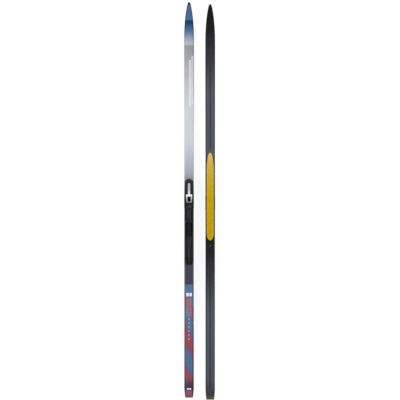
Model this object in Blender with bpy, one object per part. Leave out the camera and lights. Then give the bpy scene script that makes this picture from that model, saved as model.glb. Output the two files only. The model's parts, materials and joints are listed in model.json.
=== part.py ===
"""A pair of classic cross-country skis with sliding toe-bar bindings, lying on the floor.

The left ski lies on its base and the right ski is turned over, so that its base and grip skin face up.
Both skis are the same assembly: a layered ski, and a binding whose toe and heel units slide on a rail.
Ski frame: X across the ski, Y towards the tip with 0 at the boot bar, Z up from the floor.
All sizes are in metres. Heights of binding pieces are given above the flat platform of the ski.
"""
import math

import bmesh
import bpy
from mathutils import Matrix, Vector

# Fits
GAP = 0.0003
PLAY = 0.0005
ROUND_SIDES = 14

# Plan outline of the ski
SKI_LENGTH = 2.010
BAR_SHARE = 0.5032
SHOVEL_WIDTH = 0.050
WAIST_WIDTH = 0.048
WAIST_Y = -0.100
TAIL_WIDTH = 0.048
TAIL_END_WIDTH = 0.0392
TIP_TAPER = 0.190
TIP_FULLNESS = 0.68
TIP_LEAD = 0.008
TIP_NOSE = 0.009
TIP_BLUNT = 0.0006
TAIL_TAPER = 0.050
TAIL_FULLNESS = 1.4

# Side view of the ski, with insets measured from the tip and from the tail
CAMBER = 0.016
FRONT_CONTACT_INSET = 0.2615
REAR_CONTACT_INSET = 0.0685
TIP_RISE = 0.0645
TIP_CURL = 2.2
TAIL_RISE = 0.006
TAIL_CURL = 2.0
WAIST_THICKNESS = 0.026
FRONT_THICKNESS = 0.0095
REAR_THICKNESS = 0.009
TIP_THICKNESS = 0.0055
TAIL_THICKNESS = 0.0075
PLATFORM_MARGIN = 0.008
END_BLEND = 0.050

# Layers of the ski
BASE_SHEET = 0.0014
LAMINATE = 0.0006
TOP_SHEET = 0.0008
TOP_SHEET_EDGE = 0.0012
SHOULDER = 0.0065
SHOULDER_SHARE = 0.45
SIDEWALL_LAND = 0.002
SIDEWALL_FACE = 0.008
FOOT_SHARE = 0.5
CORE_TIP_INSET = 0.1515
CORE_TAIL_INSET = 0.0585
TIP_PROTECTOR = 0.015
TAIL_PROTECTOR = 0.010

# Base groove and grip skin
GROOVE_WIDTH = 0.0075
GROOVE_FLOOR = 0.0045
GROOVE_DEPTH = 0.0008
GROOVE_FADE = 0.025
FRONT_GROOVE_LEAD = 0.022
FRONT_GROOVE_STOP = 0.049
REAR_GROOVE_LEAD = 0.166
REAR_GROOVE_OVERRUN = 0.009
SKIN_FRONT_Y = 0.255
SKIN_REAR_Y = -0.189
SKIN_WIDTH = 0.036
SKIN_FRONT_TAPER = 0.070
SKIN_FRONT_POINT = 0.376
SKIN_REAR_TAPER = 0.037
SKIN_PROUD = 0.0005
SKIN_END_WIDTH = 0.004

# Sampling of the outlines
TIP_STATIONS = 10
TIP_BUNCHING = 1.8
TIP_NOSE_STATIONS = 4
TAIL_STATIONS = 4
TAIL_BUNCHING = 1.5
BODY_STATIONS = 20
SKIN_STATIONS = 6
NOSE_STATIONS = 5
NOSE_BLUNT = 0.05
WAIST_STATIONS = 3
SWEEP_STATIONS = 8

# Mounting rail, bonded to the platform
RAIL_NOSE_INSET = 0.026
RAIL_END_INSET = 0.003
RAIL_TONGUE_WIDTH = 0.022
RAIL_TONGUE_LENGTH = 0.008
WEB_WIDTH = 0.026
WEB_HEIGHT = 0.002
FLANGE_WIDTH = 0.037
FLANGE_HEIGHT = 0.002
RACK_DEPTH = 0.0010
NOTCH_DEPTH = 0.0006
NOTCH_PITCH = 0.005
NOTCH_LENGTH = 0.0025

# Travel of the binding
TOE_TRAVEL = 0.010
HEEL_TRAVEL = 0.010
UNIT_SPACING = 0.005
LEVER_OPENING = math.radians(80.0)

# Toe unit, from the middle outwards; rises are measured from its deck
FLEXOR_WIDTH = 0.0160
JAW_WALL = 0.0034
ARM_WALL = 0.0033
EAR_WALL = 0.0080
EAR_LEDGE = 0.0004
UNIT_LIFT = 0.0006
UNIT_HEIGHT = 0.0090
UNIT_SIDE = 0.0025
NOSE_Y = 0.114
NOSE_LENGTH = 0.0125
NOSE_FULLNESS = 0.85
NOSE_SIDE = 0.0015
EAR_SETBACK = 0.003
EAR_REAR_Y = -0.036
EAR_ABOVE_PIVOT = 0.010
EAR_TOP_FRONT_INSET = 0.013
EAR_TOP_REAR_INSET = 0.014
EAR_FRONT_RISE = 0.0077
EAR_REAR_RISE = 0.0032
WAIST_STEP = 0.006
TOE_REAR_Y = -0.105
TOE_REAR_SWEEP = 0.008
RIDGE_INNER = 0.0022
RIDGE_OUTER = 0.0086
RIDGE_HEIGHT = 0.0040
RIDGE_PAD_GAP = 0.003
RIDGE_LOCK_GAP = 0.0055
RIDGE_REAR_SLOPE = 0.0020
EDGE_CHAMFER = 0.0010

# Front cover
COVER_SETBACK = 0.003
COVER_DROP = 0.001
COVER_NOSE_RISE = 0.0032
COVER_CHAMFER = 0.0030
COVER_BEVEL = 0.0060
COVER_SCREW_INSET = 0.010
COVER_SCREW_RADIUS = 0.0013
COVER_SCREW_HEAD = 0.0028
COVER_SCREW_FLOOR = 0.0022
COVER_SCREW_HEAD_HEIGHT = 0.0012
COVER_SCREW_BITE = 0.0040

# Lever, its pins and the crank that drives the jaw
PIVOT_Y = 0.0115
PIVOT_RISE = 0.0087
PIVOT_RADIUS = 0.0020
ARM_EYE_RADIUS = 0.0045
LEVER_COVER = 0.0034
CROSSBAR_LENGTH = 0.0105
CROSSBAR_HEIGHT = 0.007
HANDLE_NOSE_INSET = 0.023
HANDLE_WIDTH = 0.0113
HANDLE_NECK_WIDTH = 0.0095
HANDLE_NECK_LENGTH = 0.012
HANDLE_END_LENGTH = 0.005
HANDLE_DROP = 0.0055
HANDLE_THICKNESS = 0.0040
HANDLE_TIP_THICKNESS = 0.0030
CRANK_RADIUS = 0.006
CRANK_PIN_RADIUS = 0.0015
CRANK_SIDE_PLAY = 0.0004
CRANK_SWING = 0.003

# Jaw, flexor and toe pad
BAR_SLOT = 0.0072
JAW_SIDE_GAP = 0.0022
JAW_LOOP = 0.0058
JAW_OUTER_CURVE = 0.7
JAW_INNER_CURVE = 0.5
JAW_HEIGHT = 0.0065
JAW_ARM_GAP = 0.0025
JAW_LIP = 0.0010
JAW_LIP_HEIGHT = 0.0016
JAW_EYE_WALL = 0.0022
FLEXOR_LENGTH = 0.0184
FLEXOR_CLEARANCE = 0.0006
FLEXOR_SLOPE = 0.0035
PAD_WIDTH = 0.030
PAD_LENGTH = 0.0145
PAD_HEIGHT = 0.0018
PAD_RIBS = 2
PAD_RIB_HEIGHT = 0.0007
PAD_RIB_CREST = (0.3, 0.7)

# Locks that hold the two units on the rail
LOCK_WIDTH = 0.016
LOCK_BARREL_RADIUS = 0.0026
LOCK_PIN_RADIUS = 0.0012
LOCK_THICKNESS = 0.0024
LOCK_TOOTH_LENGTH = 0.003
LOCK_TOOTH_WIDTH = 0.008
LOCK_TOOTH_INSET = 0.0155
LOCK_LIP_LENGTH = 0.005
LOCK_LIP_HEIGHT = 0.0018
LOCK_CHEEK = 0.004
LOCK_CHEEK_RISE = 0.0015
LOCK_CHEEK_LENGTH = 0.010
TOE_LOCK_INSET = 0.0035
TOE_LOCK_REACH = 0.0485
HEEL_LOCK_INSET = 0.0260
HEEL_LOCK_REACH = 0.0245

# Heel unit
HEEL_LENGTH = 0.150
HEEL_SWEEP = 0.006
HEEL_TAIL_SWEEP = 0.020
HEEL_TAIL_CURVE = 1.7
HEEL_RIDGE_WIDTH = 0.004
HEEL_RIDGE_HEIGHT = 0.0022
HEEL_RIDGE_GAP = 0.0055
HEEL_RIDGE_REAR_X = 0.0015
HEEL_RIDGE_LEAD = 0.004
HEEL_RIDGE_STOP = 0.0055
HEEL_RECESS_X = 0.0123
HEEL_RECESS_INSET = 0.0586
HEEL_RECESS_RADIUS = 0.0019
HEEL_RECESS_DEPTH = 0.0025
HEEL_PAD_EDGE = 0.002
HEEL_PAD_STRIP = 0.0045
HEEL_PAD_LEAD = 0.011
HEEL_PAD_STOP = 0.013
HEEL_PAD_BRIDGE = 0.006
HEEL_PAD_HEIGHT = 0.0012

# How the pair lies
PAIR_SPACING = 0.1074
PAIR_STAGGER = 0.0107

# Places along the ski that follow from the sizes above
TIP_Y = SKI_LENGTH * BAR_SHARE
TAIL_Y = TIP_Y - SKI_LENGTH
TIP_END_Y = TIP_Y - TIP_BLUNT
MID_Y = (TIP_END_Y + TAIL_Y) / 2
FRONT_CONTACT_Y = TIP_Y - FRONT_CONTACT_INSET
REAR_CONTACT_Y = TAIL_Y + REAR_CONTACT_INSET
FRONT_BLEND_Y = FRONT_CONTACT_Y - END_BLEND
REAR_BLEND_Y = REAR_CONTACT_Y + END_BLEND
CORE_FRONT_Y = TIP_Y - CORE_TIP_INSET
CORE_REAR_Y = TAIL_Y + CORE_TAIL_INSET
FRONT_GROOVE = (SKIN_FRONT_Y + FRONT_GROOVE_LEAD, FRONT_CONTACT_Y - FRONT_GROOVE_STOP)
REAR_GROOVE = (REAR_CONTACT_Y - REAR_GROOVE_OVERRUN, SKIN_REAR_Y - REAR_GROOVE_LEAD)
SIDEWALL_WIDTH = SHOULDER + SIDEWALL_LAND
PLATFORM_Z = CAMBER + WAIST_THICKNESS

# Levels of the binding above the platform
FLANGE_LOW = GAP + WEB_HEIGHT
FLANGE_TOP = FLANGE_LOW + FLANGE_HEIGHT
TOOTH_LOW = FLANGE_TOP - RACK_DEPTH + GAP
DECK = UNIT_HEIGHT + GAP
PIVOT_HEIGHT = DECK + PIVOT_RISE
EAR_HEIGHT = PIVOT_HEIGHT + EAR_ABOVE_PIVOT
CRANK_LEAN = LEVER_OPENING / 2
CRANK_HEIGHT = PIVOT_HEIGHT + CRANK_RADIUS * math.cos(CRANK_LEAN)
LEVER_HEIGHT = CRANK_HEIGHT + LEVER_COVER
FLEXOR_TOP = CRANK_HEIGHT - CRANK_PIN_RADIUS - FLEXOR_CLEARANCE
COVER_REAR_HEIGHT = LEVER_HEIGHT - COVER_DROP
COVER_NOSE_HEIGHT = DECK + COVER_NOSE_RISE
COVER_SCREW_SEAT = DECK + COVER_SCREW_FLOOR
LOCK_PIVOT_HEIGHT = FLANGE_TOP + PLAY + LOCK_BARREL_RADIUS
LOCK_CHEEK_HEIGHT = LOCK_PIVOT_HEIGHT + LOCK_BARREL_RADIUS + LOCK_CHEEK_RISE

# Places across the binding
UNIT_WIDTH = FLANGE_WIDTH + 2 * UNIT_SIDE
NOSE_WIDTH = FLANGE_WIDTH + 2 * NOSE_SIDE
JAW_INNER = FLEXOR_WIDTH / 2 + PLAY
JAW_OUTER = JAW_INNER + JAW_WALL
ARM_INNER = JAW_OUTER + PLAY
ARM_OUTER = ARM_INNER + ARM_WALL
EAR_INNER = ARM_OUTER + PLAY
EAR_OUTER = EAR_INNER + EAR_WALL
EAR_ZONE_HALF = EAR_OUTER + EAR_LEDGE
JAW_HALF = EAR_INNER - JAW_SIDE_GAP
HEEL_PAD_OUTER = UNIT_WIDTH / 2 - HEEL_PAD_EDGE
HEEL_PAD_INNER = HEEL_PAD_OUTER - HEEL_PAD_STRIP
HEEL_RIDGE_FRONT_X = HEEL_PAD_INNER - HEEL_RIDGE_GAP - HEEL_RIDGE_WIDTH / 2

# Places along the binding
CRANK_Y = PIVOT_Y + CRANK_RADIUS * math.sin(CRANK_LEAN)
JAW_TRAVEL = 2 * CRANK_RADIUS * math.sin(CRANK_LEAN)
JAW_EYE_FRONT_Y = CRANK_Y + CRANK_PIN_RADIUS + CRANK_SIDE_PLAY + JAW_EYE_WALL
JAW_MOUTH_Y = -BAR_SLOT / 2
JAW_REAR_Y = JAW_MOUTH_Y - JAW_LOOP
JAW_SHOULDER_Y = PIVOT_Y - ARM_EYE_RADIUS - JAW_ARM_GAP
FLEXOR_REAR_Y = BAR_SLOT / 2
FLEXOR_FRONT_Y = FLEXOR_REAR_Y + FLEXOR_LENGTH
CROSSBAR_REAR_Y = max(FLEXOR_FRONT_Y + PLAY, JAW_EYE_FRONT_Y + CRANK_SWING)
CROSSBAR_FRONT_Y = CROSSBAR_REAR_Y + CROSSBAR_LENGTH
EAR_FRONT_Y = CROSSBAR_FRONT_Y - EAR_SETBACK
EAR_TOP_FRONT_Y = EAR_FRONT_Y - EAR_TOP_FRONT_INSET
EAR_TOP_REAR_Y = EAR_REAR_Y + EAR_TOP_REAR_INSET
COVER_REAR_Y = CROSSBAR_FRONT_Y + COVER_SETBACK
COVER_SCREW_Y = NOSE_Y - COVER_SCREW_INSET
HANDLE_FRONT_Y = NOSE_Y - HANDLE_NOSE_INSET
PAD_FRONT_Y = JAW_REAR_Y - JAW_TRAVEL - PLAY
PAD_REAR_Y = PAD_FRONT_Y - PAD_LENGTH
TOE_LOCK_Y = TOE_REAR_Y + TOE_LOCK_INSET
RIDGE_FRONT_Y = PAD_REAR_Y - RIDGE_PAD_GAP
RIDGE_REAR_Y = TOE_LOCK_Y + RIDGE_LOCK_GAP
HEEL_FRONT_Y = TOE_LOCK_Y - TOE_LOCK_REACH - TOE_TRAVEL - HEEL_TRAVEL - UNIT_SPACING
HEEL_REAR_Y = HEEL_FRONT_Y - HEEL_LENGTH
HEEL_RECESS_Y = HEEL_FRONT_Y - HEEL_RECESS_INSET
HEEL_LOCK_Y = HEEL_REAR_Y + HEEL_LOCK_INSET
HEEL_PAD_FRONT_Y = HEEL_FRONT_Y - HEEL_PAD_LEAD
HEEL_PAD_REAR_Y = HEEL_LOCK_Y + HEEL_PAD_STOP
HEEL_RIDGE_FRONT_Y = HEEL_PAD_FRONT_Y - HEEL_PAD_BRIDGE - HEEL_RIDGE_LEAD
HEEL_RIDGE_REAR_Y = HEEL_LOCK_Y + HEEL_RIDGE_STOP
RAIL_FRONT_Y = NOSE_Y - RAIL_NOSE_INSET
RAIL_REAR_Y = HEEL_REAR_Y + RAIL_END_INSET
PLATFORM_FRONT_Y = NOSE_Y + TOE_TRAVEL + PLATFORM_MARGIN
PLATFORM_REAR_Y = HEEL_REAR_Y - HEEL_TRAVEL - PLATFORM_MARGIN


def smooth(start, end, value):
    """Ease from 0 at start to 1 at end."""
    share = min(max((value - start) / (end - start), 0.0), 1.0)
    return share * share * (3 - 2 * share)


def mix(first, second, share):
    return first + (second - first) * share


def half_width(y):
    """Half of the ski's width at a station, with the rounded tip and the drawn-in tail."""
    far = TIP_Y - TIP_TAPER if y > WAIST_Y else TAIL_Y + TAIL_TAPER
    end_width = SHOVEL_WIDTH if y > WAIST_Y else TAIL_WIDTH
    half = mix(WAIST_WIDTH, end_width, smooth(WAIST_Y, far, y)) / 2
    from_tip = TIP_Y - y
    if from_tip < TIP_TAPER:
        reach = (from_tip + TIP_LEAD) / (TIP_TAPER + TIP_LEAD)
        half *= (1 - (1 - reach) ** 2) ** TIP_FULLNESS
    if from_tip < TIP_NOSE:
        half *= math.sqrt(1 - (1 - from_tip / TIP_NOSE) ** 2)
    from_tail = y - TAIL_Y
    if from_tail < TAIL_TAPER:
        drawn_in = (TAIL_WIDTH - TAIL_END_WIDTH) / 2
        half -= drawn_in * (1 - from_tail / TAIL_TAPER) ** TAIL_FULLNESS
    return half


def base_height(y):
    """Height of the running surface: the camber arch between the contacts, the curled tip and tail."""
    if y > FRONT_CONTACT_Y:
        return TIP_RISE * ((y - FRONT_CONTACT_Y) / (TIP_Y - FRONT_CONTACT_Y)) ** TIP_CURL
    if y < REAR_CONTACT_Y:
        return TAIL_RISE * ((y - REAR_CONTACT_Y) / (TAIL_Y - REAR_CONTACT_Y)) ** TAIL_CURL
    half_span = (FRONT_CONTACT_Y - REAR_CONTACT_Y) / 2
    share = (y - REAR_CONTACT_Y) / half_span - 1
    return CAMBER * (1 - share * share) ** 2


def top_height(y):
    """Height of the top face: flat under the binding, then down to the thin ends."""
    if y > MID_Y:
        share = max((y - FRONT_CONTACT_Y) / (TIP_Y - FRONT_CONTACT_Y), 0.0)
        thin = mix(FRONT_THICKNESS, TIP_THICKNESS, share)
        ease = smooth(PLATFORM_FRONT_Y, FRONT_BLEND_Y, y)
    else:
        share = max((y - REAR_CONTACT_Y) / (TAIL_Y - REAR_CONTACT_Y), 0.0)
        thin = mix(REAR_THICKNESS, TAIL_THICKNESS, share)
        ease = smooth(PLATFORM_REAR_Y, REAR_BLEND_Y, y)
    return mix(PLATFORM_Z, base_height(y) + thin, ease)


def shoulder_width(y):
    return min(SHOULDER, SHOULDER_SHARE * half_width(y))


def shoulder_foot(y):
    """Height where the upright sidewall face ends and the sloping shoulder begins."""
    base = base_height(y)
    return base + min(SIDEWALL_FACE, mix(BASE_SHEET, top_height(y) - base, FOOT_SHARE))


def groove_depth(y):
    depth = 0.0
    for rear, front in (FRONT_GROOVE, REAR_GROOVE):
        fade = min(smooth(rear, rear + GROOVE_FADE, y), smooth(front, front - GROOVE_FADE, y))
        depth = max(depth, GROOVE_DEPTH * fade)
    return depth


def master_stations():
    """Stations shared by every layer, so that neighbouring faces bend at the same places."""
    ys = {TIP_END_Y, TIP_Y - TIP_PROTECTOR, TAIL_Y + TAIL_PROTECTOR}
    ys.update({CORE_FRONT_Y, CORE_REAR_Y, PLATFORM_FRONT_Y, PLATFORM_REAR_Y})
    ys.update({FRONT_CONTACT_Y, REAR_CONTACT_Y})
    for rear, front in (FRONT_GROOVE, REAR_GROOVE):
        ys.update({rear, rear + GROOVE_FADE, front - GROOVE_FADE, front})
    for step in range(2, TIP_STATIONS + 1):
        ys.add(TIP_Y - TIP_TAPER * (step / TIP_STATIONS) ** TIP_BUNCHING)
    for step in range(2, TIP_NOSE_STATIONS + 1):
        ys.add(TIP_Y - TIP_NOSE * (step / TIP_NOSE_STATIONS) ** 2)
    for step in range(TAIL_STATIONS + 1):
        ys.add(TAIL_Y + TAIL_TAPER * (step / TAIL_STATIONS) ** TAIL_BUNCHING)
    rear = TAIL_Y + TAIL_TAPER
    front = TIP_Y - TIP_TAPER
    for step in range(1, BODY_STATIONS):
        ys.add(mix(rear, front, step / BODY_STATIONS))
    return sorted(ys)


def stations(rear, front):
    """The shared stations between two ends, leaving out any that lie almost on an end."""
    inner = [y for y in master_stations() if rear + GAP * 2 < y < front - GAP * 2]
    return [rear] + inner + [front]


def closed_mesh(bm):
    bmesh.ops.recalc_face_normals(bm, faces=bm.faces)
    mesh = bpy.data.meshes.new("solid")
    bm.to_mesh(mesh)
    bm.free()
    solid = bpy.data.objects.new("solid", mesh)
    bpy.context.scene.collection.objects.link(solid)
    return solid


def loft(ys, section):
    """A closed body through cross-sections (x, z) at the given stations.

    Every diagonal runs forward and inward, so the twisted faces of two neighbouring layers stay parallel.
    """
    bm = bmesh.new()
    rings = []
    for y in ys:
        rings.append([bm.verts.new((x, y, z)) for x, z in section(y)])
    for rear, front in zip(rings, rings[1:]):
        for index in range(len(rear)):
            pair = (index, (index + 1) % len(rear))
            outer = max(pair, key=lambda i: (abs(rear[i].co.x), rear[i].co.z))
            inner = pair[0] if outer == pair[1] else pair[1]
            bm.faces.new((rear[outer], rear[inner], front[inner]))
            bm.faces.new((rear[outer], front[inner], front[outer]))
    bm.faces.new(rings[0])
    bm.faces.new(rings[-1])
    return closed_mesh(bm)


def prism(axis, outline, low, high, chamfer=0.0):
    """An outline pushed along one axis, with its far edges chamfered if asked.

    The outline is (y, z) for axis X, (x, z) for axis Y and (x, y) for axis Z.
    """
    place = {
        "X": lambda a, b, level: (level, a, b),
        "Y": lambda a, b, level: (a, level, b),
        "Z": lambda a, b, level: (a, b, level),
    }[axis]
    bm = bmesh.new()
    near = [bm.verts.new(place(a, b, low)) for a, b in outline]
    far = [bm.verts.new(place(a, b, high)) for a, b in outline]
    for index in range(len(near)):
        after = (index + 1) % len(near)
        bm.faces.new((near[index], near[after], far[after], far[index]))
    bm.faces.new(near)
    far_face = bm.faces.new(far)
    if chamfer > 0:
        bmesh.ops.recalc_face_normals(bm, faces=bm.faces)
        bmesh.ops.bevel(bm, geom=list(far_face.edges), offset=chamfer, segments=1, affect="EDGES")
    return closed_mesh(bm)


def both_sides(make):
    """The same body on the left and on the right, from a function of the side's sign."""
    return [make(-1), make(1)]


def side_prism(outline, inner, outer, chamfer=0.0):
    """Twin upright plates, mirrored about the middle of the ski."""
    return both_sides(lambda sign: prism("X", outline, sign * inner, sign * outer, chamfer))


def box(x_low, x_high, y_low, y_high, z_low, z_high):
    outline = [(x_low, y_low), (x_high, y_low), (x_high, y_high), (x_low, y_high)]
    return prism("Z", outline, z_low, z_high)


def arc(centre_a, centre_b, radius, start, end, steps):
    """Points on an arc, from one angle to another in degrees."""
    angles = [math.radians(mix(start, end, step / steps)) for step in range(steps + 1)]
    return [(centre_a + radius * math.cos(t), centre_b + radius * math.sin(t)) for t in angles]


def circle(centre_a, centre_b, radius):
    return arc(centre_a, centre_b, radius, 0, 360, ROUND_SIDES)[:-1]


def turned(x, y, profile):
    """A closed body of revolution about an upright axis; the profile runs (radius, z) from the top."""
    bm = bmesh.new()
    top = bm.verts.new((x, y, profile[0][1]))
    foot = bm.verts.new((x, y, profile[-1][1]))
    rings = []
    for radius, z in profile:
        rings.append([bm.verts.new((a, b, z)) for a, b in circle(x, y, radius)])
    for index in range(ROUND_SIDES):
        after = (index + 1) % ROUND_SIDES
        bm.faces.new((top, rings[0][index], rings[0][after]))
        bm.faces.new((foot, rings[-1][after], rings[-1][index]))
        for upper, lower in zip(rings, rings[1:]):
            bm.faces.new((upper[index], lower[index], lower[after], upper[after]))
    return closed_mesh(bm)


def combine(target, tools, operation):
    """Apply Boolean operations with several tool bodies, and take the tools away."""
    for tool in tools:
        modifier = target.modifiers.new("combine", "BOOLEAN")
        modifier.operation = operation
        modifier.solver = "EXACT"
        modifier.object = tool
    graph = bpy.context.evaluated_depsgraph_get()
    target.data = bpy.data.meshes.new_from_object(target.evaluated_get(graph))
    target.modifiers.clear()
    for tool in tools:
        bpy.data.objects.remove(tool)
    return target


def base_sheet():
    def section(y):
        half = half_width(y)
        low = base_height(y)
        top = low + BASE_SHEET
        floor = low + groove_depth(y)
        lip = min(GROOVE_WIDTH / 2, half / 2)
        bed = min(GROOVE_FLOOR / 2, half / 3)
        return [(-half, low), (-lip, low), (-bed, floor), (bed, floor), (lip, low), (half, low),
                (half, top), (-half, top)]

    sheet = loft(stations(TAIL_Y + TAIL_PROTECTOR + GAP, TIP_Y - TIP_PROTECTOR - GAP), section)
    right_edge = [(skin_half_width(y) + GAP, y) for y in skin_stations()]
    right_edge[0] = (right_edge[0][0], SKIN_REAR_Y - GAP)
    right_edge[-1] = (right_edge[-1][0], SKIN_FRONT_Y + GAP)
    window = right_edge + [(-x, y) for x, y in reversed(right_edge)]
    return combine(sheet, [prism("Z", window, 0.0, PLATFORM_Z)], "DIFFERENCE")


def skin_half_width(y):
    """Half-width of the grip skin: a blunt point in front and a rounded end behind."""
    point = min(max((SKIN_FRONT_Y - y) / SKIN_FRONT_TAPER, 0.0), 1.0) ** SKIN_FRONT_POINT
    from_rear = max(1 - (y - SKIN_REAR_Y) / SKIN_REAR_TAPER, 0.0)
    roundness = math.sqrt(max(1 - from_rear ** 2, 0.0))
    return max(SKIN_WIDTH / 2 * min(point, roundness), SKIN_END_WIDTH / 2)


def skin_stations():
    """Close at the rounded ends; between them the skin shares the stations of the ski."""
    ends = []
    for step in range(SKIN_STATIONS + 1):
        share = 1 - math.cos(step / SKIN_STATIONS * math.pi / 2)
        ends.append(SKIN_REAR_Y + SKIN_REAR_TAPER * share)
        ends.append(SKIN_FRONT_Y - SKIN_FRONT_TAPER * share)
    middle = stations(SKIN_REAR_Y + SKIN_REAR_TAPER, SKIN_FRONT_Y - SKIN_FRONT_TAPER)[1:-1]
    return sorted(ends + middle)


def skin_insert():
    def section(y):
        half = skin_half_width(y)
        low = base_height(y)
        return [(-half, low - SKIN_PROUD), (half, low - SKIN_PROUD), (half, low + BASE_SHEET),
                (-half, low + BASE_SHEET)]

    return loft(skin_stations(), section)


def laminate_low(y):
    return base_height(y) + BASE_SHEET + GAP


def core_low(y):
    return laminate_low(y) + LAMINATE + GAP


def under_top(y):
    """Underside of the top sheet, less the fit to what lies below it."""
    return top_height(y) - TOP_SHEET - GAP


def core_half_width(y):
    return half_width(y) - SIDEWALL_WIDTH - GAP


def strip(half, low, high):
    return [(-half, low), (half, low), (half, high), (-half, high)]


def lower_laminate():
    def section(y):
        return strip(half_width(y), laminate_low(y), laminate_low(y) + LAMINATE)

    return loft(stations(CORE_REAR_Y, CORE_FRONT_Y), section)


def core():
    def section(y):
        return strip(core_half_width(y), core_low(y), under_top(y) - LAMINATE - GAP)

    return loft(stations(CORE_REAR_Y, CORE_FRONT_Y), section)


def upper_laminate():
    def section(y):
        return strip(core_half_width(y), under_top(y) - LAMINATE, under_top(y))

    return loft(stations(CORE_REAR_Y, CORE_FRONT_Y), section)


def sidewall(sign):
    def section(y):
        half = half_width(y)
        foot = shoulder_foot(y)
        inner = half - SIDEWALL_WIDTH
        upper = half - shoulder_width(y) - TOP_SHEET_EDGE / 3 - GAP
        outline = [(half, core_low(y)), (half, foot), (half - TOP_SHEET_EDGE - GAP, foot),
                   (upper, under_top(y)), (inner, under_top(y)), (inner, core_low(y))]
        return [(sign * x, z) for x, z in outline]

    return loft(stations(CORE_REAR_Y, CORE_FRONT_Y), section)


def cap_outline(half, shoulder, foot, top):
    """The outer faces of the cap, from the right edge over the top to the left edge."""
    return [(half, foot), (half - shoulder, top), (shoulder - half, top), (-half, foot)]


def top_sheet():
    def section(y):
        half = half_width(y)
        shoulder = shoulder_width(y)
        edge = min(TOP_SHEET_EDGE, half / 4)
        foot = shoulder_foot(y) + GAP
        outer = cap_outline(half, shoulder, foot, top_height(y))
        inner = cap_outline(half - edge, shoulder - edge * 2 / 3, foot, top_height(y) - TOP_SHEET)
        return outer + inner[::-1]

    return loft(stations(TAIL_Y + TAIL_PROTECTOR + GAP, TIP_Y - TIP_PROTECTOR - GAP), section)


def spacer(rear, front):
    """Filler between the base sheet and the top sheet where the core has ended."""
    def section(y):
        half = half_width(y)
        edge = min(TOP_SHEET_EDGE, half / 4)
        foot = shoulder_foot(y)
        upper = half - shoulder_width(y) - edge / 3 - GAP
        step = half - edge - GAP
        return [(half, laminate_low(y)), (half, foot), (step, foot), (upper, under_top(y)),
                (-upper, under_top(y)), (-step, foot), (-half, foot), (-half, laminate_low(y))]

    return loft(stations(rear, front), section)


def protector(rear, front):
    """Solid moulded end of the ski, flush with the sheets it meets."""
    def section(y):
        half = half_width(y)
        low = base_height(y)
        cap = cap_outline(half, shoulder_width(y), shoulder_foot(y), top_height(y))
        return cap + [(-half, low), (half, low)]

    return loft(stations(rear, front), section)


def above(height):
    """World height of a binding level that is given above the platform."""
    return PLATFORM_Z + height


def mounting_plate():
    web = WEB_WIDTH / 2
    flange = FLANGE_WIDTH / 2
    outline = [(-web, above(GAP)), (web, above(GAP)), (web, above(FLANGE_LOW)), (flange, above(FLANGE_LOW)),
               (flange, above(FLANGE_TOP)), (-flange, above(FLANGE_TOP)), (-flange, above(FLANGE_LOW)),
               (-web, above(FLANGE_LOW))]
    plate = prism("Y", outline, RAIL_REAR_Y, RAIL_FRONT_Y)
    racks = rack_cutters(tooth_y(TOE_LOCK_Y, TOE_LOCK_REACH), TOE_TRAVEL)
    racks += rack_cutters(tooth_y(HEEL_LOCK_Y, HEEL_LOCK_REACH), HEEL_TRAVEL)

    def corner(sign):
        lead = RAIL_REAR_Y + RAIL_TONGUE_LENGTH
        outline = [(RAIL_TONGUE_WIDTH / 2, RAIL_REAR_Y), (flange, lead), (flange + GAP, lead),
                   (flange + GAP, RAIL_REAR_Y - GAP), (RAIL_TONGUE_WIDTH / 2, RAIL_REAR_Y - GAP)]
        return prism("Z", [(sign * x, y) for x, y in outline], PLATFORM_Z, above(FLANGE_TOP + GAP))

    return combine(plate, racks + both_sides(corner), "DIFFERENCE")


def tooth_y(pivot_y, reach):
    return pivot_y - reach + LOCK_TOOTH_INSET


def rack_cutters(middle_y, travel):
    """A shallow trough as long as the travel, with notches across its floor."""
    half_length = travel + LOCK_TOOTH_LENGTH / 2 + PLAY
    half_wide = LOCK_TOOTH_WIDTH / 2 + PLAY
    floor = above(FLANGE_TOP - RACK_DEPTH)
    lid = above(FLANGE_TOP + GAP)
    trough = box(-half_wide, half_wide, middle_y - half_length, middle_y + half_length, floor, lid)
    cutters = [trough]
    count = int(half_length // NOTCH_PITCH)
    for step in range(-count, count + 1):
        y = middle_y + step * NOTCH_PITCH
        half = min(NOTCH_LENGTH / 2, half_length - abs(y - middle_y))
        cutters.append(box(PLAY - half_wide, half_wide - PLAY, y - half, y + half, floor - NOTCH_DEPTH, lid))
    return cutters


def toe_half_width(y):
    """Plan of the toe unit: arched nose, widening to the ears, then the narrower foot plate."""
    nose_half = NOSE_WIDTH / 2
    from_nose = NOSE_Y - y
    if from_nose < NOSE_LENGTH:
        return nose_half * max(from_nose / NOSE_LENGTH, 0.0) ** NOSE_FULLNESS
    if y > EAR_FRONT_Y:
        return mix(EAR_ZONE_HALF, nose_half, (y - EAR_FRONT_Y) / (NOSE_Y - NOSE_LENGTH - EAR_FRONT_Y))
    return mix(EAR_ZONE_HALF, UNIT_WIDTH / 2, smooth(EAR_REAR_Y, EAR_REAR_Y - WAIST_STEP, y))


def nose_stations(rear):
    """Stations of the toe unit from the given rear end to the nose."""
    ys = [rear]
    if rear < EAR_FRONT_Y:
        ys.append(EAR_FRONT_Y)
    for step in range(NOSE_STATIONS + 1):
        ys.append(NOSE_Y - NOSE_LENGTH * mix(1.0, NOSE_BLUNT ** 0.5, step / NOSE_STATIONS) ** 2)
    return ys


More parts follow.
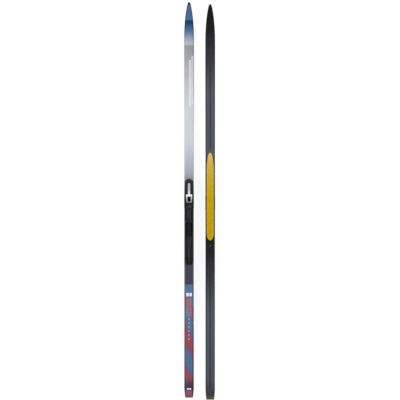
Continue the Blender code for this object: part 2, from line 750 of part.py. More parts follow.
def rail_channel(rear, front):
    """Room for the rail to slide through a unit."""
    web = WEB_WIDTH / 2 + GAP
    flange = FLANGE_WIDTH / 2 + GAP
    lip = above(FLANGE_LOW - GAP)
    top = above(FLANGE_TOP + GAP)
    outline = [(-web, PLATFORM_Z), (web, PLATFORM_Z), (web, lip), (flange, lip), (flange, top),
               (-flange, top), (-flange, lip), (-web, lip)]
    return prism("Y", outline, rear, front)


def lock_seat(pivot_y, rear):
    """Cutters for a lock: the notch it lies in and the hole for its pin."""
    half = LOCK_WIDTH / 2 + PLAY
    front = pivot_y + LOCK_BARREL_RADIUS + PLAY
    notch = box(-half, half, rear, front, above(FLANGE_LOW), above(LOCK_CHEEK_HEIGHT + UNIT_HEIGHT))
    bore = circle(pivot_y, above(LOCK_PIVOT_HEIGHT), LOCK_PIN_RADIUS + GAP)
    hole = prism("X", bore, -UNIT_WIDTH, UNIT_WIDTH)
    return [notch, hole]


def lock_cheeks(pivot_y):
    """Raised cheeks either side of a lock, which carry its pin."""
    inner = LOCK_WIDTH / 2
    half = LOCK_CHEEK_LENGTH / 2
    low = above(UNIT_HEIGHT - LOCK_CHEEK / 2)
    top = above(LOCK_CHEEK_HEIGHT)
    outline = [(pivot_y - half, low), (pivot_y + half, low), (pivot_y + half, above(UNIT_HEIGHT)),
               (pivot_y + half / 2, top), (pivot_y - half / 2, top), (pivot_y - half, above(UNIT_HEIGHT))]
    return side_prism(outline, inner, inner + PLAY + LOCK_CHEEK)


def toe_chassis():
    right_side = [(toe_half_width(y), y) for y in reversed(nose_stations(EAR_FRONT_Y))]
    for step in range(WAIST_STATIONS + 1):
        y = EAR_REAR_Y - WAIST_STEP * step / WAIST_STATIONS
        right_side.append((toe_half_width(y), y))
    half = UNIT_WIDTH / 2
    rear_edge = []
    for step in range(SWEEP_STATIONS + 1):
        x = mix(half, -half, step / SWEEP_STATIONS)
        rear_edge.append((x, TOE_REAR_Y - TOE_REAR_SWEEP * (x / half) ** 2))
    left_side = [(-x, y) for x, y in reversed(right_side)]
    deck = prism("Z", right_side + rear_edge + left_side, above(UNIT_LIFT), above(UNIT_HEIGHT), EDGE_CHAMFER)
    sunk = above(UNIT_HEIGHT - EDGE_CHAMFER * 2)
    ear_top = above(EAR_HEIGHT)
    ear = [(EAR_FRONT_Y, sunk), (EAR_FRONT_Y, above(DECK + EAR_FRONT_RISE)), (EAR_TOP_FRONT_Y, ear_top),
           (EAR_TOP_REAR_Y, ear_top), (EAR_REAR_Y, above(DECK + EAR_REAR_RISE)), (EAR_REAR_Y, sunk)]
    ears = side_prism(ear, EAR_INNER, EAR_OUTER, EDGE_CHAMFER)
    ridge_top = above(UNIT_HEIGHT + RIDGE_HEIGHT)
    slope = RIDGE_HEIGHT * 2
    ridge = [(RIDGE_FRONT_Y, sunk), (RIDGE_FRONT_Y - slope, ridge_top),
             (RIDGE_REAR_Y + RIDGE_REAR_SLOPE, ridge_top), (RIDGE_REAR_Y, sunk)]
    ridges = side_prism(ridge, RIDGE_INNER, RIDGE_OUTER)
    body = combine(deck, ears + ridges + lock_cheeks(TOE_LOCK_Y), "UNION")
    channel = rail_channel(TOE_REAR_Y - UNIT_WIDTH, RAIL_FRONT_Y + TOE_TRAVEL + PLAY)
    pivot_outline = circle(PIVOT_Y, above(PIVOT_HEIGHT), PIVOT_RADIUS + GAP)
    pivot_hole = prism("X", pivot_outline, -EAR_ZONE_HALF, EAR_ZONE_HALF)
    bite = turned(0.0, COVER_SCREW_Y, [
        (COVER_SCREW_RADIUS + GAP, above(UNIT_HEIGHT + COVER_SCREW_BITE)),
        (COVER_SCREW_RADIUS + GAP, above(UNIT_HEIGHT - COVER_SCREW_BITE - GAP))])
    seat = lock_seat(TOE_LOCK_Y, TOE_REAR_Y - UNIT_WIDTH)
    return combine(body, [channel, pivot_hole, bite] + seat, "DIFFERENCE")


def handle_top(y):
    share = (y - CROSSBAR_FRONT_Y) / (HANDLE_FRONT_Y - CROSSBAR_FRONT_Y)
    return above(LEVER_HEIGHT - HANDLE_DROP * share)


def handle_low(y):
    share = (y - CROSSBAR_FRONT_Y) / (HANDLE_FRONT_Y - CROSSBAR_FRONT_Y)
    return handle_top(y) - mix(HANDLE_THICKNESS, HANDLE_TIP_THICKNESS, share)


def front_cover():
    def section(y):
        half = toe_half_width(y)
        low = above(DECK)
        top = above(mix(COVER_REAR_HEIGHT, COVER_NOSE_HEIGHT, (y - COVER_REAR_Y) / (NOSE_Y - COVER_REAR_Y)))
        edge = top - min(COVER_CHAMFER, (top - low) / 2)
        flat = half - min(COVER_BEVEL, half / 2)
        return [(-half, low), (half, low), (half, edge), (flat, top), (-flat, top), (-half, edge)]

    cover = loft(nose_stations(COVER_REAR_Y), section)
    start = CROSSBAR_FRONT_Y
    end = HANDLE_FRONT_Y + HANDLE_WIDTH
    lid = above(LEVER_HEIGHT + COVER_REAR_HEIGHT)
    channel = [(start, handle_low(start) - GAP), (end, handle_low(end) - GAP), (end, lid), (start, lid)]
    half = HANDLE_WIDTH / 2 + PLAY
    bore = turned(0.0, COVER_SCREW_Y, [
        (COVER_SCREW_HEAD + GAP, lid),
        (COVER_SCREW_HEAD + GAP, above(COVER_SCREW_SEAT - GAP)),
        (COVER_SCREW_RADIUS + GAP, above(COVER_SCREW_SEAT - GAP)),
        (COVER_SCREW_RADIUS + GAP, above(UNIT_HEIGHT - GAP))])
    return combine(cover, [prism("X", channel, -half, half), bore], "DIFFERENCE")


def cover_screw():
    seat = above(COVER_SCREW_SEAT)
    return turned(0.0, COVER_SCREW_Y, [
        (COVER_SCREW_HEAD, seat + COVER_SCREW_HEAD_HEIGHT),
        (COVER_SCREW_HEAD, seat),
        (COVER_SCREW_RADIUS, seat),
        (COVER_SCREW_RADIUS, above(UNIT_HEIGHT - COVER_SCREW_BITE))])


def lever():
    eye = arc(PIVOT_Y, above(PIVOT_HEIGHT), ARM_EYE_RADIUS, 180, 300, 6)
    top = above(LEVER_HEIGHT - GAP)
    low = above(LEVER_HEIGHT - CROSSBAR_HEIGHT)
    rear = PIVOT_Y - ARM_EYE_RADIUS
    arm_end = (CROSSBAR_REAR_Y + CROSSBAR_FRONT_Y) / 2
    corner = ARM_EYE_RADIUS / 2
    arm = eye + [(CROSSBAR_REAR_Y, low + GAP), (arm_end, low + GAP), (arm_end, top), (rear + corner, top),
                 (rear, top - corner)]
    crossbar = [(CROSSBAR_REAR_Y, low), (CROSSBAR_FRONT_Y, low), (CROSSBAR_FRONT_Y, above(LEVER_HEIGHT)),
                (CROSSBAR_REAR_Y, above(LEVER_HEIGHT))]
    root = arm_end
    nib = HANDLE_TIP_THICKNESS / 2
    tip = HANDLE_FRONT_Y
    handle = [(root, handle_low(root)), (tip - nib, handle_low(tip - nib)), (tip, handle_low(tip) + nib),
              (tip - nib, handle_top(tip - nib)), (CROSSBAR_FRONT_Y, handle_top(CROSSBAR_FRONT_Y) - GAP),
              (root, handle_top(CROSSBAR_FRONT_Y) - GAP)]
    body = prism("X", crossbar, -ARM_OUTER, ARM_OUTER)
    grip = prism("X", handle, -HANDLE_WIDTH / 2, HANDLE_WIDTH / 2)

    def neck_side(sign):
        neck = HANDLE_NECK_WIDTH / 2
        end = CROSSBAR_FRONT_Y + HANDLE_NECK_LENGTH
        outline = [(neck, PIVOT_Y), (neck, mix(CROSSBAR_FRONT_Y, end, 0.5)), (HANDLE_WIDTH / 2 + GAP, end),
                   (HANDLE_WIDTH, end), (HANDLE_WIDTH, PIVOT_Y)]
        return prism("Z", [(sign * x, y) for x, y in outline], PLATFORM_Z, above(LEVER_HEIGHT * 2))

    def end_corner(sign):
        half = HANDLE_WIDTH / 2
        outline = [(half + GAP, tip - HANDLE_END_LENGTH), (half + GAP, tip + GAP), (half / 3, tip + GAP)]
        for x, y in arc(0, 0, 1, 80, 0, 5):
            outline.append((half * x, tip - HANDLE_END_LENGTH * (1 - y)))
        return prism("Z", [(sign * x, y) for x, y in outline], PLATFORM_Z, above(LEVER_HEIGHT * 2))

    grip = combine(grip, both_sides(neck_side) + both_sides(end_corner), "DIFFERENCE")
    body = combine(body, [grip] + side_prism(arm, ARM_INNER, ARM_OUTER - GAP), "UNION")
    pivot_hole = prism("X", circle(PIVOT_Y, above(PIVOT_HEIGHT), PIVOT_RADIUS + GAP), -EAR_OUTER, EAR_OUTER)
    crank_bore = circle(CRANK_Y, above(CRANK_HEIGHT), CRANK_PIN_RADIUS + GAP)
    crank_hole = prism("X", crank_bore, -EAR_OUTER, EAR_OUTER)
    return combine(body, [pivot_hole, crank_hole], "DIFFERENCE")


def lever_pin(sign):
    """Short pin from one ear into the lever arm beside it."""
    outline = circle(PIVOT_Y, above(PIVOT_HEIGHT), PIVOT_RADIUS)
    return prism("X", outline, sign * (ARM_INNER + GAP), sign * (EAR_OUTER - GAP))


def crank_rod():
    """Rod between the lever arms that drives both legs of the jaw."""
    outline = circle(CRANK_Y, above(CRANK_HEIGHT), CRANK_PIN_RADIUS)
    return prism("X", outline, PLAY - ARM_OUTER, ARM_OUTER - PLAY)


def jaw_bow(half, depth, curve, steps):
    """A squarish bow behind the jaw's shoulders, from right to left."""
    bow = []
    for x, y in arc(0, 0, 1, 0, -180, steps):
        across = math.copysign(abs(x) ** curve, x)
        bow.append((half * across, JAW_SHOULDER_Y - depth * abs(y) ** curve))
    return bow


def jaw():
    slot_half = CRANK_PIN_RADIUS + CRANK_SIDE_PLAY
    slot_low = above(CRANK_HEIGHT) - slot_half
    slot_top = above(PIVOT_HEIGHT + CRANK_RADIUS) + slot_half
    slot = [(CRANK_Y - slot_half, slot_low), (CRANK_Y + slot_half, slot_low), (CRANK_Y + slot_half, slot_top),
            (CRANK_Y - slot_half, slot_top)]
    eye_rear = CRANK_Y - slot_half - JAW_EYE_WALL
    eye_low = slot_low - JAW_EYE_WALL
    eye_top = slot_top + JAW_EYE_WALL / 2
    loop_low = above(DECK)
    loop_top = above(DECK + JAW_HEIGHT)
    leg = [(JAW_EYE_FRONT_Y, eye_low), (JAW_EYE_FRONT_Y, eye_top), (eye_rear, eye_top),
           (JAW_MOUTH_Y, loop_top - GAP), (JAW_MOUTH_Y - JAW_WALL, loop_top - GAP),
           (JAW_MOUTH_Y - JAW_WALL, loop_low + GAP), (JAW_SHOULDER_Y, loop_low + GAP)]
    legs = side_prism(leg, JAW_INNER, JAW_OUTER)
    depth = JAW_SHOULDER_Y - JAW_REAR_Y
    mouth = JAW_SHOULDER_Y - JAW_MOUTH_Y
    outer = jaw_bow(JAW_HALF, depth, JAW_OUTER_CURVE, 12)
    inner = jaw_bow(JAW_INNER + GAP, mouth, JAW_INNER_CURVE, 10)
    loop = prism("Z", outer + inner[::-1], loop_low, loop_top)
    lip_half = JAW_INNER / 2
    lip = box(-lip_half, lip_half, JAW_MOUTH_Y - JAW_LIP, JAW_MOUTH_Y + JAW_LIP, loop_top - JAW_LIP_HEIGHT,
              loop_top - GAP)
    body = combine(loop, legs + [lip], "UNION")
    return combine(body, [prism("X", slot, -EAR_INNER, EAR_INNER)], "DIFFERENCE")


def flexor():
    low = above(DECK)
    top = above(FLEXOR_TOP)
    rear = FLEXOR_REAR_Y
    front = FLEXOR_FRONT_Y
    outline = [(rear, low), (front, low), (front, top - FLEXOR_SLOPE), (front - FLEXOR_SLOPE, top),
               (rear + FLEXOR_SLOPE, top), (rear, top - FLEXOR_SLOPE)]
    return prism("X", outline, -FLEXOR_WIDTH / 2, FLEXOR_WIDTH / 2)


def toe_pad():
    low = above(DECK)
    top = above(DECK + PAD_HEIGHT)
    pitch = (PAD_FRONT_Y - PAD_REAR_Y) / PAD_RIBS
    crest_start, crest_end = PAD_RIB_CREST
    outline = [(PAD_FRONT_Y, low), (PAD_REAR_Y, low)]
    for rib in range(PAD_RIBS):
        start = PAD_REAR_Y + rib * pitch
        outline.append((start, top - PAD_RIB_HEIGHT))
        outline.append((start + pitch * crest_start, top))
        outline.append((start + pitch * crest_end, top))
    outline.append((PAD_FRONT_Y, top - PAD_RIB_HEIGHT))
    return prism("X", outline, -PAD_WIDTH / 2, PAD_WIDTH / 2)


def lock(pivot_y, reach):
    """A tongue on a barrel; a tooth under its end drops into the rack of the rail."""
    height = above(LOCK_PIVOT_HEIGHT)
    low = above(FLANGE_TOP + GAP)
    top = low + LOCK_THICKNESS
    end = pivot_y - reach
    lip = end + LOCK_LIP_LENGTH
    barrel = arc(pivot_y, height, LOCK_BARREL_RADIUS, -60, 150, 8)
    outline = barrel + [(pivot_y - LOCK_BARREL_RADIUS * 2, top), (lip, top), (end, top + LOCK_LIP_HEIGHT),
                        (end, low)]
    tongue = prism("X", outline, -LOCK_WIDTH / 2, LOCK_WIDTH / 2)
    middle = tooth_y(pivot_y, reach)
    half = LOCK_TOOTH_LENGTH / 2
    wide = LOCK_TOOTH_WIDTH / 2
    tooth = box(-wide, wide, middle - half, middle + half, above(TOOTH_LOW), low + LOCK_THICKNESS / 2)
    hole = prism("X", circle(pivot_y, height, LOCK_PIN_RADIUS + GAP), -LOCK_WIDTH, LOCK_WIDTH)
    return combine(combine(tongue, [tooth], "UNION"), [hole], "DIFFERENCE")


def lock_pin(pivot_y):
    end = LOCK_WIDTH / 2 + PLAY + LOCK_CHEEK - GAP
    return prism("X", circle(pivot_y, above(LOCK_PIVOT_HEIGHT), LOCK_PIN_RADIUS), -end, end)


def heel_plate():
    half = UNIT_WIDTH / 2
    front_edge = []
    rear_edge = []
    for step in range(SWEEP_STATIONS + 1):
        x = mix(half, -half, step / SWEEP_STATIONS)
        front_edge.append((-x, HEEL_FRONT_Y - HEEL_SWEEP * (x / half) ** 2))
        rear_edge.append((x, HEEL_REAR_Y + HEEL_TAIL_SWEEP * abs(x / half) ** HEEL_TAIL_CURVE))
    deck = prism("Z", front_edge + rear_edge, above(UNIT_LIFT), above(UNIT_HEIGHT), EDGE_CHAMFER)
    ridge_low = above(UNIT_HEIGHT - EDGE_CHAMFER)
    ridge_top = above(UNIT_HEIGHT + HEEL_RIDGE_HEIGHT)
    wide = HEEL_RIDGE_WIDTH / 2

    def ridge(sign):
        outline = [(sign * (HEEL_RIDGE_FRONT_X - wide), HEEL_RIDGE_FRONT_Y),
                   (sign * (HEEL_RIDGE_FRONT_X + wide), HEEL_RIDGE_FRONT_Y),
                   (sign * (HEEL_RIDGE_REAR_X + wide), HEEL_RIDGE_REAR_Y),
                   (sign * (HEEL_RIDGE_REAR_X - wide), HEEL_RIDGE_REAR_Y)]
        return prism("Z", outline, ridge_low, ridge_top, EDGE_CHAMFER)

    front = HEEL_RIDGE_FRONT_X + wide - EDGE_CHAMFER
    joining = box(-front, front, HEEL_RIDGE_FRONT_Y - HEEL_RIDGE_WIDTH, HEEL_RIDGE_FRONT_Y - EDGE_CHAMFER,
                  ridge_low + GAP, ridge_top - GAP)
    body = combine(deck, both_sides(ridge) + [joining] + lock_cheeks(HEEL_LOCK_Y), "UNION")
    far = HEEL_REAR_Y - UNIT_WIDTH
    channel = rail_channel(far, HEEL_FRONT_Y + UNIT_WIDTH)

    def recess(sign):
        rim = above(UNIT_HEIGHT + HEEL_RIDGE_HEIGHT)
        floor = above(UNIT_HEIGHT - HEEL_RECESS_DEPTH)
        wall = [(HEEL_RECESS_RADIUS, rim), (HEEL_RECESS_RADIUS, floor)]
        return turned(sign * HEEL_RECESS_X, HEEL_RECESS_Y, wall)

    return combine(body, [channel] + both_sides(recess) + lock_seat(HEEL_LOCK_Y, far), "DIFFERENCE")


def heel_pad():
    """Two grip strips joined by a bridge at their front ends."""
    bridge = HEEL_PAD_FRONT_Y - HEEL_PAD_BRIDGE
    right = [(HEEL_PAD_INNER, bridge), (HEEL_PAD_INNER, HEEL_PAD_REAR_Y), (HEEL_PAD_OUTER, HEEL_PAD_REAR_Y),
             (HEEL_PAD_OUTER, HEEL_PAD_FRONT_Y)]
    outline = right + [(-x, y) for x, y in reversed(right)]
    return prism("Z", outline, above(DECK), above(DECK + HEEL_PAD_HEIGHT), HEEL_PAD_HEIGHT / 3)


def finish(name, colour, roughness, metallic=0.0):
    material = bpy.data.materials.new(name)
    material.use_nodes = True
    shader = material.node_tree.nodes["Principled BSDF"]
    shader.inputs["Base Color"].default_value = (*colour, 1.0)
    shader.inputs["Roughness"].default_value = roughness
    shader.inputs["Metallic"].default_value = metallic
    return material


def frame_empty(name, place):
    empty = bpy.data.objects.new(name, None)
    empty.location = place
    bpy.context.scene.collection.objects.link(empty)
    return empty


SKI = Vector((0.0, 0.0, 0.0))
TOE_UNIT = Vector((0.0, 0.0, PLATFORM_Z))
HEEL_UNIT = Vector((0.0, (HEEL_FRONT_Y + HEEL_REAR_Y) / 2, PLATFORM_Z))
LEVER_AXIS = Vector((0.0, PIVOT_Y, above(PIVOT_HEIGHT)))
TOE_LOCK_AXIS = Vector((0.0, TOE_LOCK_Y, above(LOCK_PIVOT_HEIGHT)))
HEEL_LOCK_AXIS = Vector((0.0, HEEL_LOCK_Y, above(LOCK_PIVOT_HEIGHT)))


def ski_pieces():
    """Every piece of one ski: name, body in the ski's frame, origin, colour, roughness, metallic."""
    black = (0.015, 0.015, 0.018)
    rubber = (0.010, 0.010, 0.011)
    steel = (0.60, 0.61, 0.63)
    tip_rear = TIP_Y - TIP_PROTECTOR
    tail_front = TAIL_Y + TAIL_PROTECTOR
    return [
        ("base_sheet", base_sheet(), SKI, (0.060, 0.062, 0.075), 0.35, 0.0),
        ("skin_insert", skin_insert(), SKI, (0.50, 0.36, 0.01), 0.95, 0.0),
        ("lower_laminate", lower_laminate(), SKI, (0.02, 0.02, 0.02), 0.5, 0.0),
        ("core", core(), SKI, (0.62, 0.45, 0.25), 0.7, 0.0),
        ("left_sidewall", sidewall(-1), SKI, black, 0.45, 0.0),
        ("right_sidewall", sidewall(1), SKI, black, 0.45, 0.0),
        ("upper_laminate", upper_laminate(), SKI, (0.02, 0.02, 0.02), 0.5, 0.0),
        ("top_sheet", top_sheet(), SKI, (0.36, 0.37, 0.42), 0.35, 0.0),
        ("tip_spacer", spacer(CORE_FRONT_Y + GAP, tip_rear - GAP), SKI, black, 0.6, 0.0),
        ("tail_spacer", spacer(tail_front + GAP, CORE_REAR_Y - GAP), SKI, black, 0.6, 0.0),
        ("tip_protector", protector(tip_rear, TIP_END_Y), SKI, black, 0.4, 0.0),
        ("tail_protector", protector(TAIL_Y, tail_front), SKI, black, 0.4, 0.0),
        ("mounting_plate", mounting_plate(), SKI, black, 0.5, 0.0),
        ("toe_chassis", toe_chassis(), TOE_UNIT, black, 0.5, 0.0),
        ("front_cover", front_cover(), TOE_UNIT, black, 0.4, 0.0),
        ("cover_screw", cover_screw(), TOE_UNIT, steel, 0.35, 1.0),
        ("lever", lever(), LEVER_AXIS, (0.62, 0.63, 0.68), 0.3, 0.3),
        ("left_lever_pin", lever_pin(-1), LEVER_AXIS, steel, 0.3, 1.0),
        ("right_lever_pin", lever_pin(1), LEVER_AXIS, steel, 0.3, 1.0),
        ("crank_rod", crank_rod(), LEVER_AXIS, steel, 0.3, 1.0),
        ("jaw", jaw(), TOE_UNIT, steel, 0.35, 1.0),
        ("flexor", flexor(), TOE_UNIT, rubber, 0.8, 0.0),
        ("toe_pad", toe_pad(), TOE_UNIT, (0.035, 0.036, 0.040), 0.8, 0.0),
        ("toe_lock", lock(TOE_LOCK_Y, TOE_LOCK_REACH), TOE_LOCK_AXIS, black, 0.5, 0.0),
        ("toe_lock_pin", lock_pin(TOE_LOCK_Y), TOE_LOCK_AXIS, steel, 0.3, 1.0),
        ("heel_plate", heel_plate(), HEEL_UNIT, black, 0.5, 0.0),
        ("heel_pad", heel_pad(), HEEL_UNIT, rubber, 0.85, 0.0),
        ("heel_lock", lock(HEEL_LOCK_Y, HEEL_LOCK_REACH), HEEL_LOCK_AXIS, black, 0.5, 0.0),
        ("heel_lock_pin", lock_pin(HEEL_LOCK_Y), HEEL_LOCK_AXIS, steel, 0.3, 1.0),
    ]


def main():
    for old in list(bpy.data.objects):
        bpy.data.objects.remove(old)
    turned_over_z = max(above(EAR_HEIGHT), base_height(TIP_Y) + TIP_THICKNESS)
    half_stagger = PAIR_STAGGER / 2
    left = frame_empty("left_ski", (-PAIR_SPACING / 2, half_stagger - MID_Y, 0.0))
    right = frame_empty("right_ski", (PAIR_SPACING / 2, -half_stagger - MID_Y, turned_over_z))
    right.rotation_euler = (0.0, math.pi, 0.0)
    for name, body, origin, colour, roughness, metallic in ski_pieces():
        mesh = body.data
        bpy.data.objects.remove(body)
        mesh.transform(Matrix.Translation(-origin))
        mesh.shade_smooth()
        mesh.set_sharp_from_angle(angle=math.radians(30))
        for side, frame in (("left", left), ("right", right)):
            node = bpy.data.objects.new(f"{side}_ski_{name}", mesh)
            node.parent = frame
            node.location = origin
            bpy.context.scene.collection.objects.link(node)
        mesh.materials.clear()
        mesh.materials.append(finish(f"{name}_finish", colour, roughness, metallic))


main()
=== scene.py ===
# %% [markdown]
# # A pair of classic cross-country skis
# One ski lies on its base and shows its printed top and its binding. The other is turned over and shows the
# running base with the yellow grip skin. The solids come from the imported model, so this lesson adds what a
# solid lacks: finishes, print, pile, ribs and rubber. Every new piece rides on the body that carries it.

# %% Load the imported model
import json
import math
import random

import bmesh
import bpy
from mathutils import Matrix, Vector


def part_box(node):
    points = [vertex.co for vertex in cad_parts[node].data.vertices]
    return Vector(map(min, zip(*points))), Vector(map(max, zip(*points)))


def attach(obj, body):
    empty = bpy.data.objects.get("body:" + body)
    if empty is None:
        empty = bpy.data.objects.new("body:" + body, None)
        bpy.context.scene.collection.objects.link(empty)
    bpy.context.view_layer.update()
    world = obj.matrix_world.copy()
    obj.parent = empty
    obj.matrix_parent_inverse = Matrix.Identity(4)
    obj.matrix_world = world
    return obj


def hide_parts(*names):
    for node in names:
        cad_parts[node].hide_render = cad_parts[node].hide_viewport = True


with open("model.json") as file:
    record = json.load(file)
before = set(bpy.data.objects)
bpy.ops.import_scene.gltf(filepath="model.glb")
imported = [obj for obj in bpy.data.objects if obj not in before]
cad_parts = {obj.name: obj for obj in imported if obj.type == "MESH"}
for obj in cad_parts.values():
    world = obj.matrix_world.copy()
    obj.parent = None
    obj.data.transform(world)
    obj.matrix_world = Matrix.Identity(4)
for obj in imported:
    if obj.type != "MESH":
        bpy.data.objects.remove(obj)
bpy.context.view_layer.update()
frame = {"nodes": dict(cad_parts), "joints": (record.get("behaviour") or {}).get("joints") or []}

# %% [markdown]
# ## Two skis, one set of axes
# Both skis are alike, and only their places differ: the right one is turned half a turn about its length. If
# each ski has its own axes, a piece is written once and placed twice. The lever's hinge is a point that the
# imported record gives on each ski, so the axes are measured back from there.

# %% The axes of each ski
LEVER_AXIS_Y = 0.0115
LEVER_AXIS_Z = 0.060
MM = 0.001


class SkiAxes:
    """One ski's own axes: x across, y forward from the boot bar, z up from the floor it would stand on."""

    def __init__(self, side, flip):
        hinges = {joint["name"]: joint for joint in frame["joints"]}
        hinge = Vector(hinges[f"{side}_lever_lift"]["pos_m"])
        self.side = side
        self.flip = flip
        self.origin = hinge - Vector((0.0, LEVER_AXIS_Y, flip * LEVER_AXIS_Z))

    def world(self, x, y, z):
        """A point given in millimetres of the ski, as metres of the scene."""
        return self.origin + Vector((self.flip * x, y, self.flip * z)) * MM

    def local(self, point):
        """A point of the scene, in millimetres of the ski."""
        gap = (point - self.origin) / MM
        return Vector((self.flip * gap.x, gap.y, self.flip * gap.z))

    def node(self, name):
        return f"{self.side}_ski_{name}"

    def body(self, name):
        return f"{self.side}_{name}"


SKIS = (SkiAxes("left", 1), SkiAxes("right", -1))
for ski in SKIS:
    print(ski.side, "origin", tuple(round(value, 4) for value in ski.origin))

# %% [markdown]
# ## The camera
# The pair was seen from straight above and from far away: both skis have the same length in the picture and
# neither shows its sides. A very long lens would do this, but a parallel camera says it in one number, the
# width of floor that it sees.

# %% Camera straight above
VIEW_SPAN = 2.031
VIEW_SPOT = (0.0019, 0.0042, 3.0)


def into_scene(name, data):
    """A new object for a camera, a lamp or a mesh, linked so that the scene shows it."""
    made = bpy.data.objects.new(name, data)
    bpy.context.scene.collection.objects.link(made)
    return made


camera_data = bpy.data.cameras.new("overhead_camera")
camera_data.type = "ORTHO"
camera_data.ortho_scale = VIEW_SPAN
camera = into_scene("overhead_camera", camera_data)
camera.location = VIEW_SPOT
bpy.context.scene.camera = camera
print("camera sees", VIEW_SPAN, "m")

# %% [markdown]
# ## Shader arithmetic
# A printed top is mostly sums: how far along, how far across, which colour. Math nodes wired by hand hide
# that. A small class that wraps a socket lets Python write the sum, and each operator adds its node.

# %% A socket that does arithmetic


class Value:
    """A number that varies over a surface; arithmetic on it adds Math nodes."""

    def __init__(self, finish, socket):
        self.finish = finish
        self.socket = socket

    def math(self, operation, first, second=0.0):
        return self.finish.node("ShaderNodeMath", {"operation": operation}, {0: first, 1: second})

    def __add__(self, other):
        return self.math("ADD", self, other)

    def __radd__(self, other):
        return self.math("ADD", other, self)

    def __sub__(self, other):
        return self.math("SUBTRACT", self, other)

    def __rsub__(self, other):
        return self.math("SUBTRACT", other, self)

    def __mul__(self, other):
        return self.math("MULTIPLY", self, other)

    def __rmul__(self, other):
        return self.math("MULTIPLY", other, self)

    def __truediv__(self, other):
        return self.math("DIVIDE", self, other)

    def __rtruediv__(self, other):
        return self.math("DIVIDE", other, self)

    def __abs__(self):
        return self.math("ABSOLUTE", self)

    def sine(self):
        return self.math("SINE", self)

    def root(self):
        return self.math("SQRT", self)

    def remainder(self, size):
        return self.math("FLOORED_MODULO", self, size)

    def at_least(self, other):
        return self.math("MAXIMUM", self, other)

    def spread(self, low, high):
        """A value from 0 to 1, stretched so that it runs from low to high."""
        return low + self * (high - low)

    def ease(self, start, end):
        """0 before start and 1 after end, eased between; start may lie after end."""
        settings = {"interpolation_type": "SMOOTHSTEP"}
        sockets = {"Value": self, "From Min": min(start, end), "From Max": max(start, end)}
        rising = self.finish.node("ShaderNodeMapRange", settings, sockets)
        return rising if start < end else 1.0 - rising

    def within(self, low, high, soft):
        """1 between two limits, with soft edges."""
        return self.ease(low - soft, low + soft) * self.ease(high + soft, high - soft)

    def other(self, output):
        """Another output of the node that this value comes from."""
        return Value(self.finish, self.socket.node.outputs[output])


print("sums on a Value become Math nodes")

# %% [markdown]
# ## A finish
# A finish is what a surface is moulded in, painted with or ground by. In Blender it is a material: one shader
# fed by other nodes. They could be wired in the editor, but a class that owns the material, with one method
# that makes any node, keeps each recipe readable. Colours are given from 0 to 255, as a designer names them.

# %% A finish and its one way to make a node


def paint(red, green, blue):
    """A colour as a designer names it, 0 to 255, in the linear form that shaders use."""
    channels = []
    for channel in (red / 255, green / 255, blue / 255):
        low = channel / 12.92
        high = ((channel + 0.055) / 1.055) ** 2.4
        channels.append(low if channel <= 0.04045 else high)
    return (*channels, 1.0)


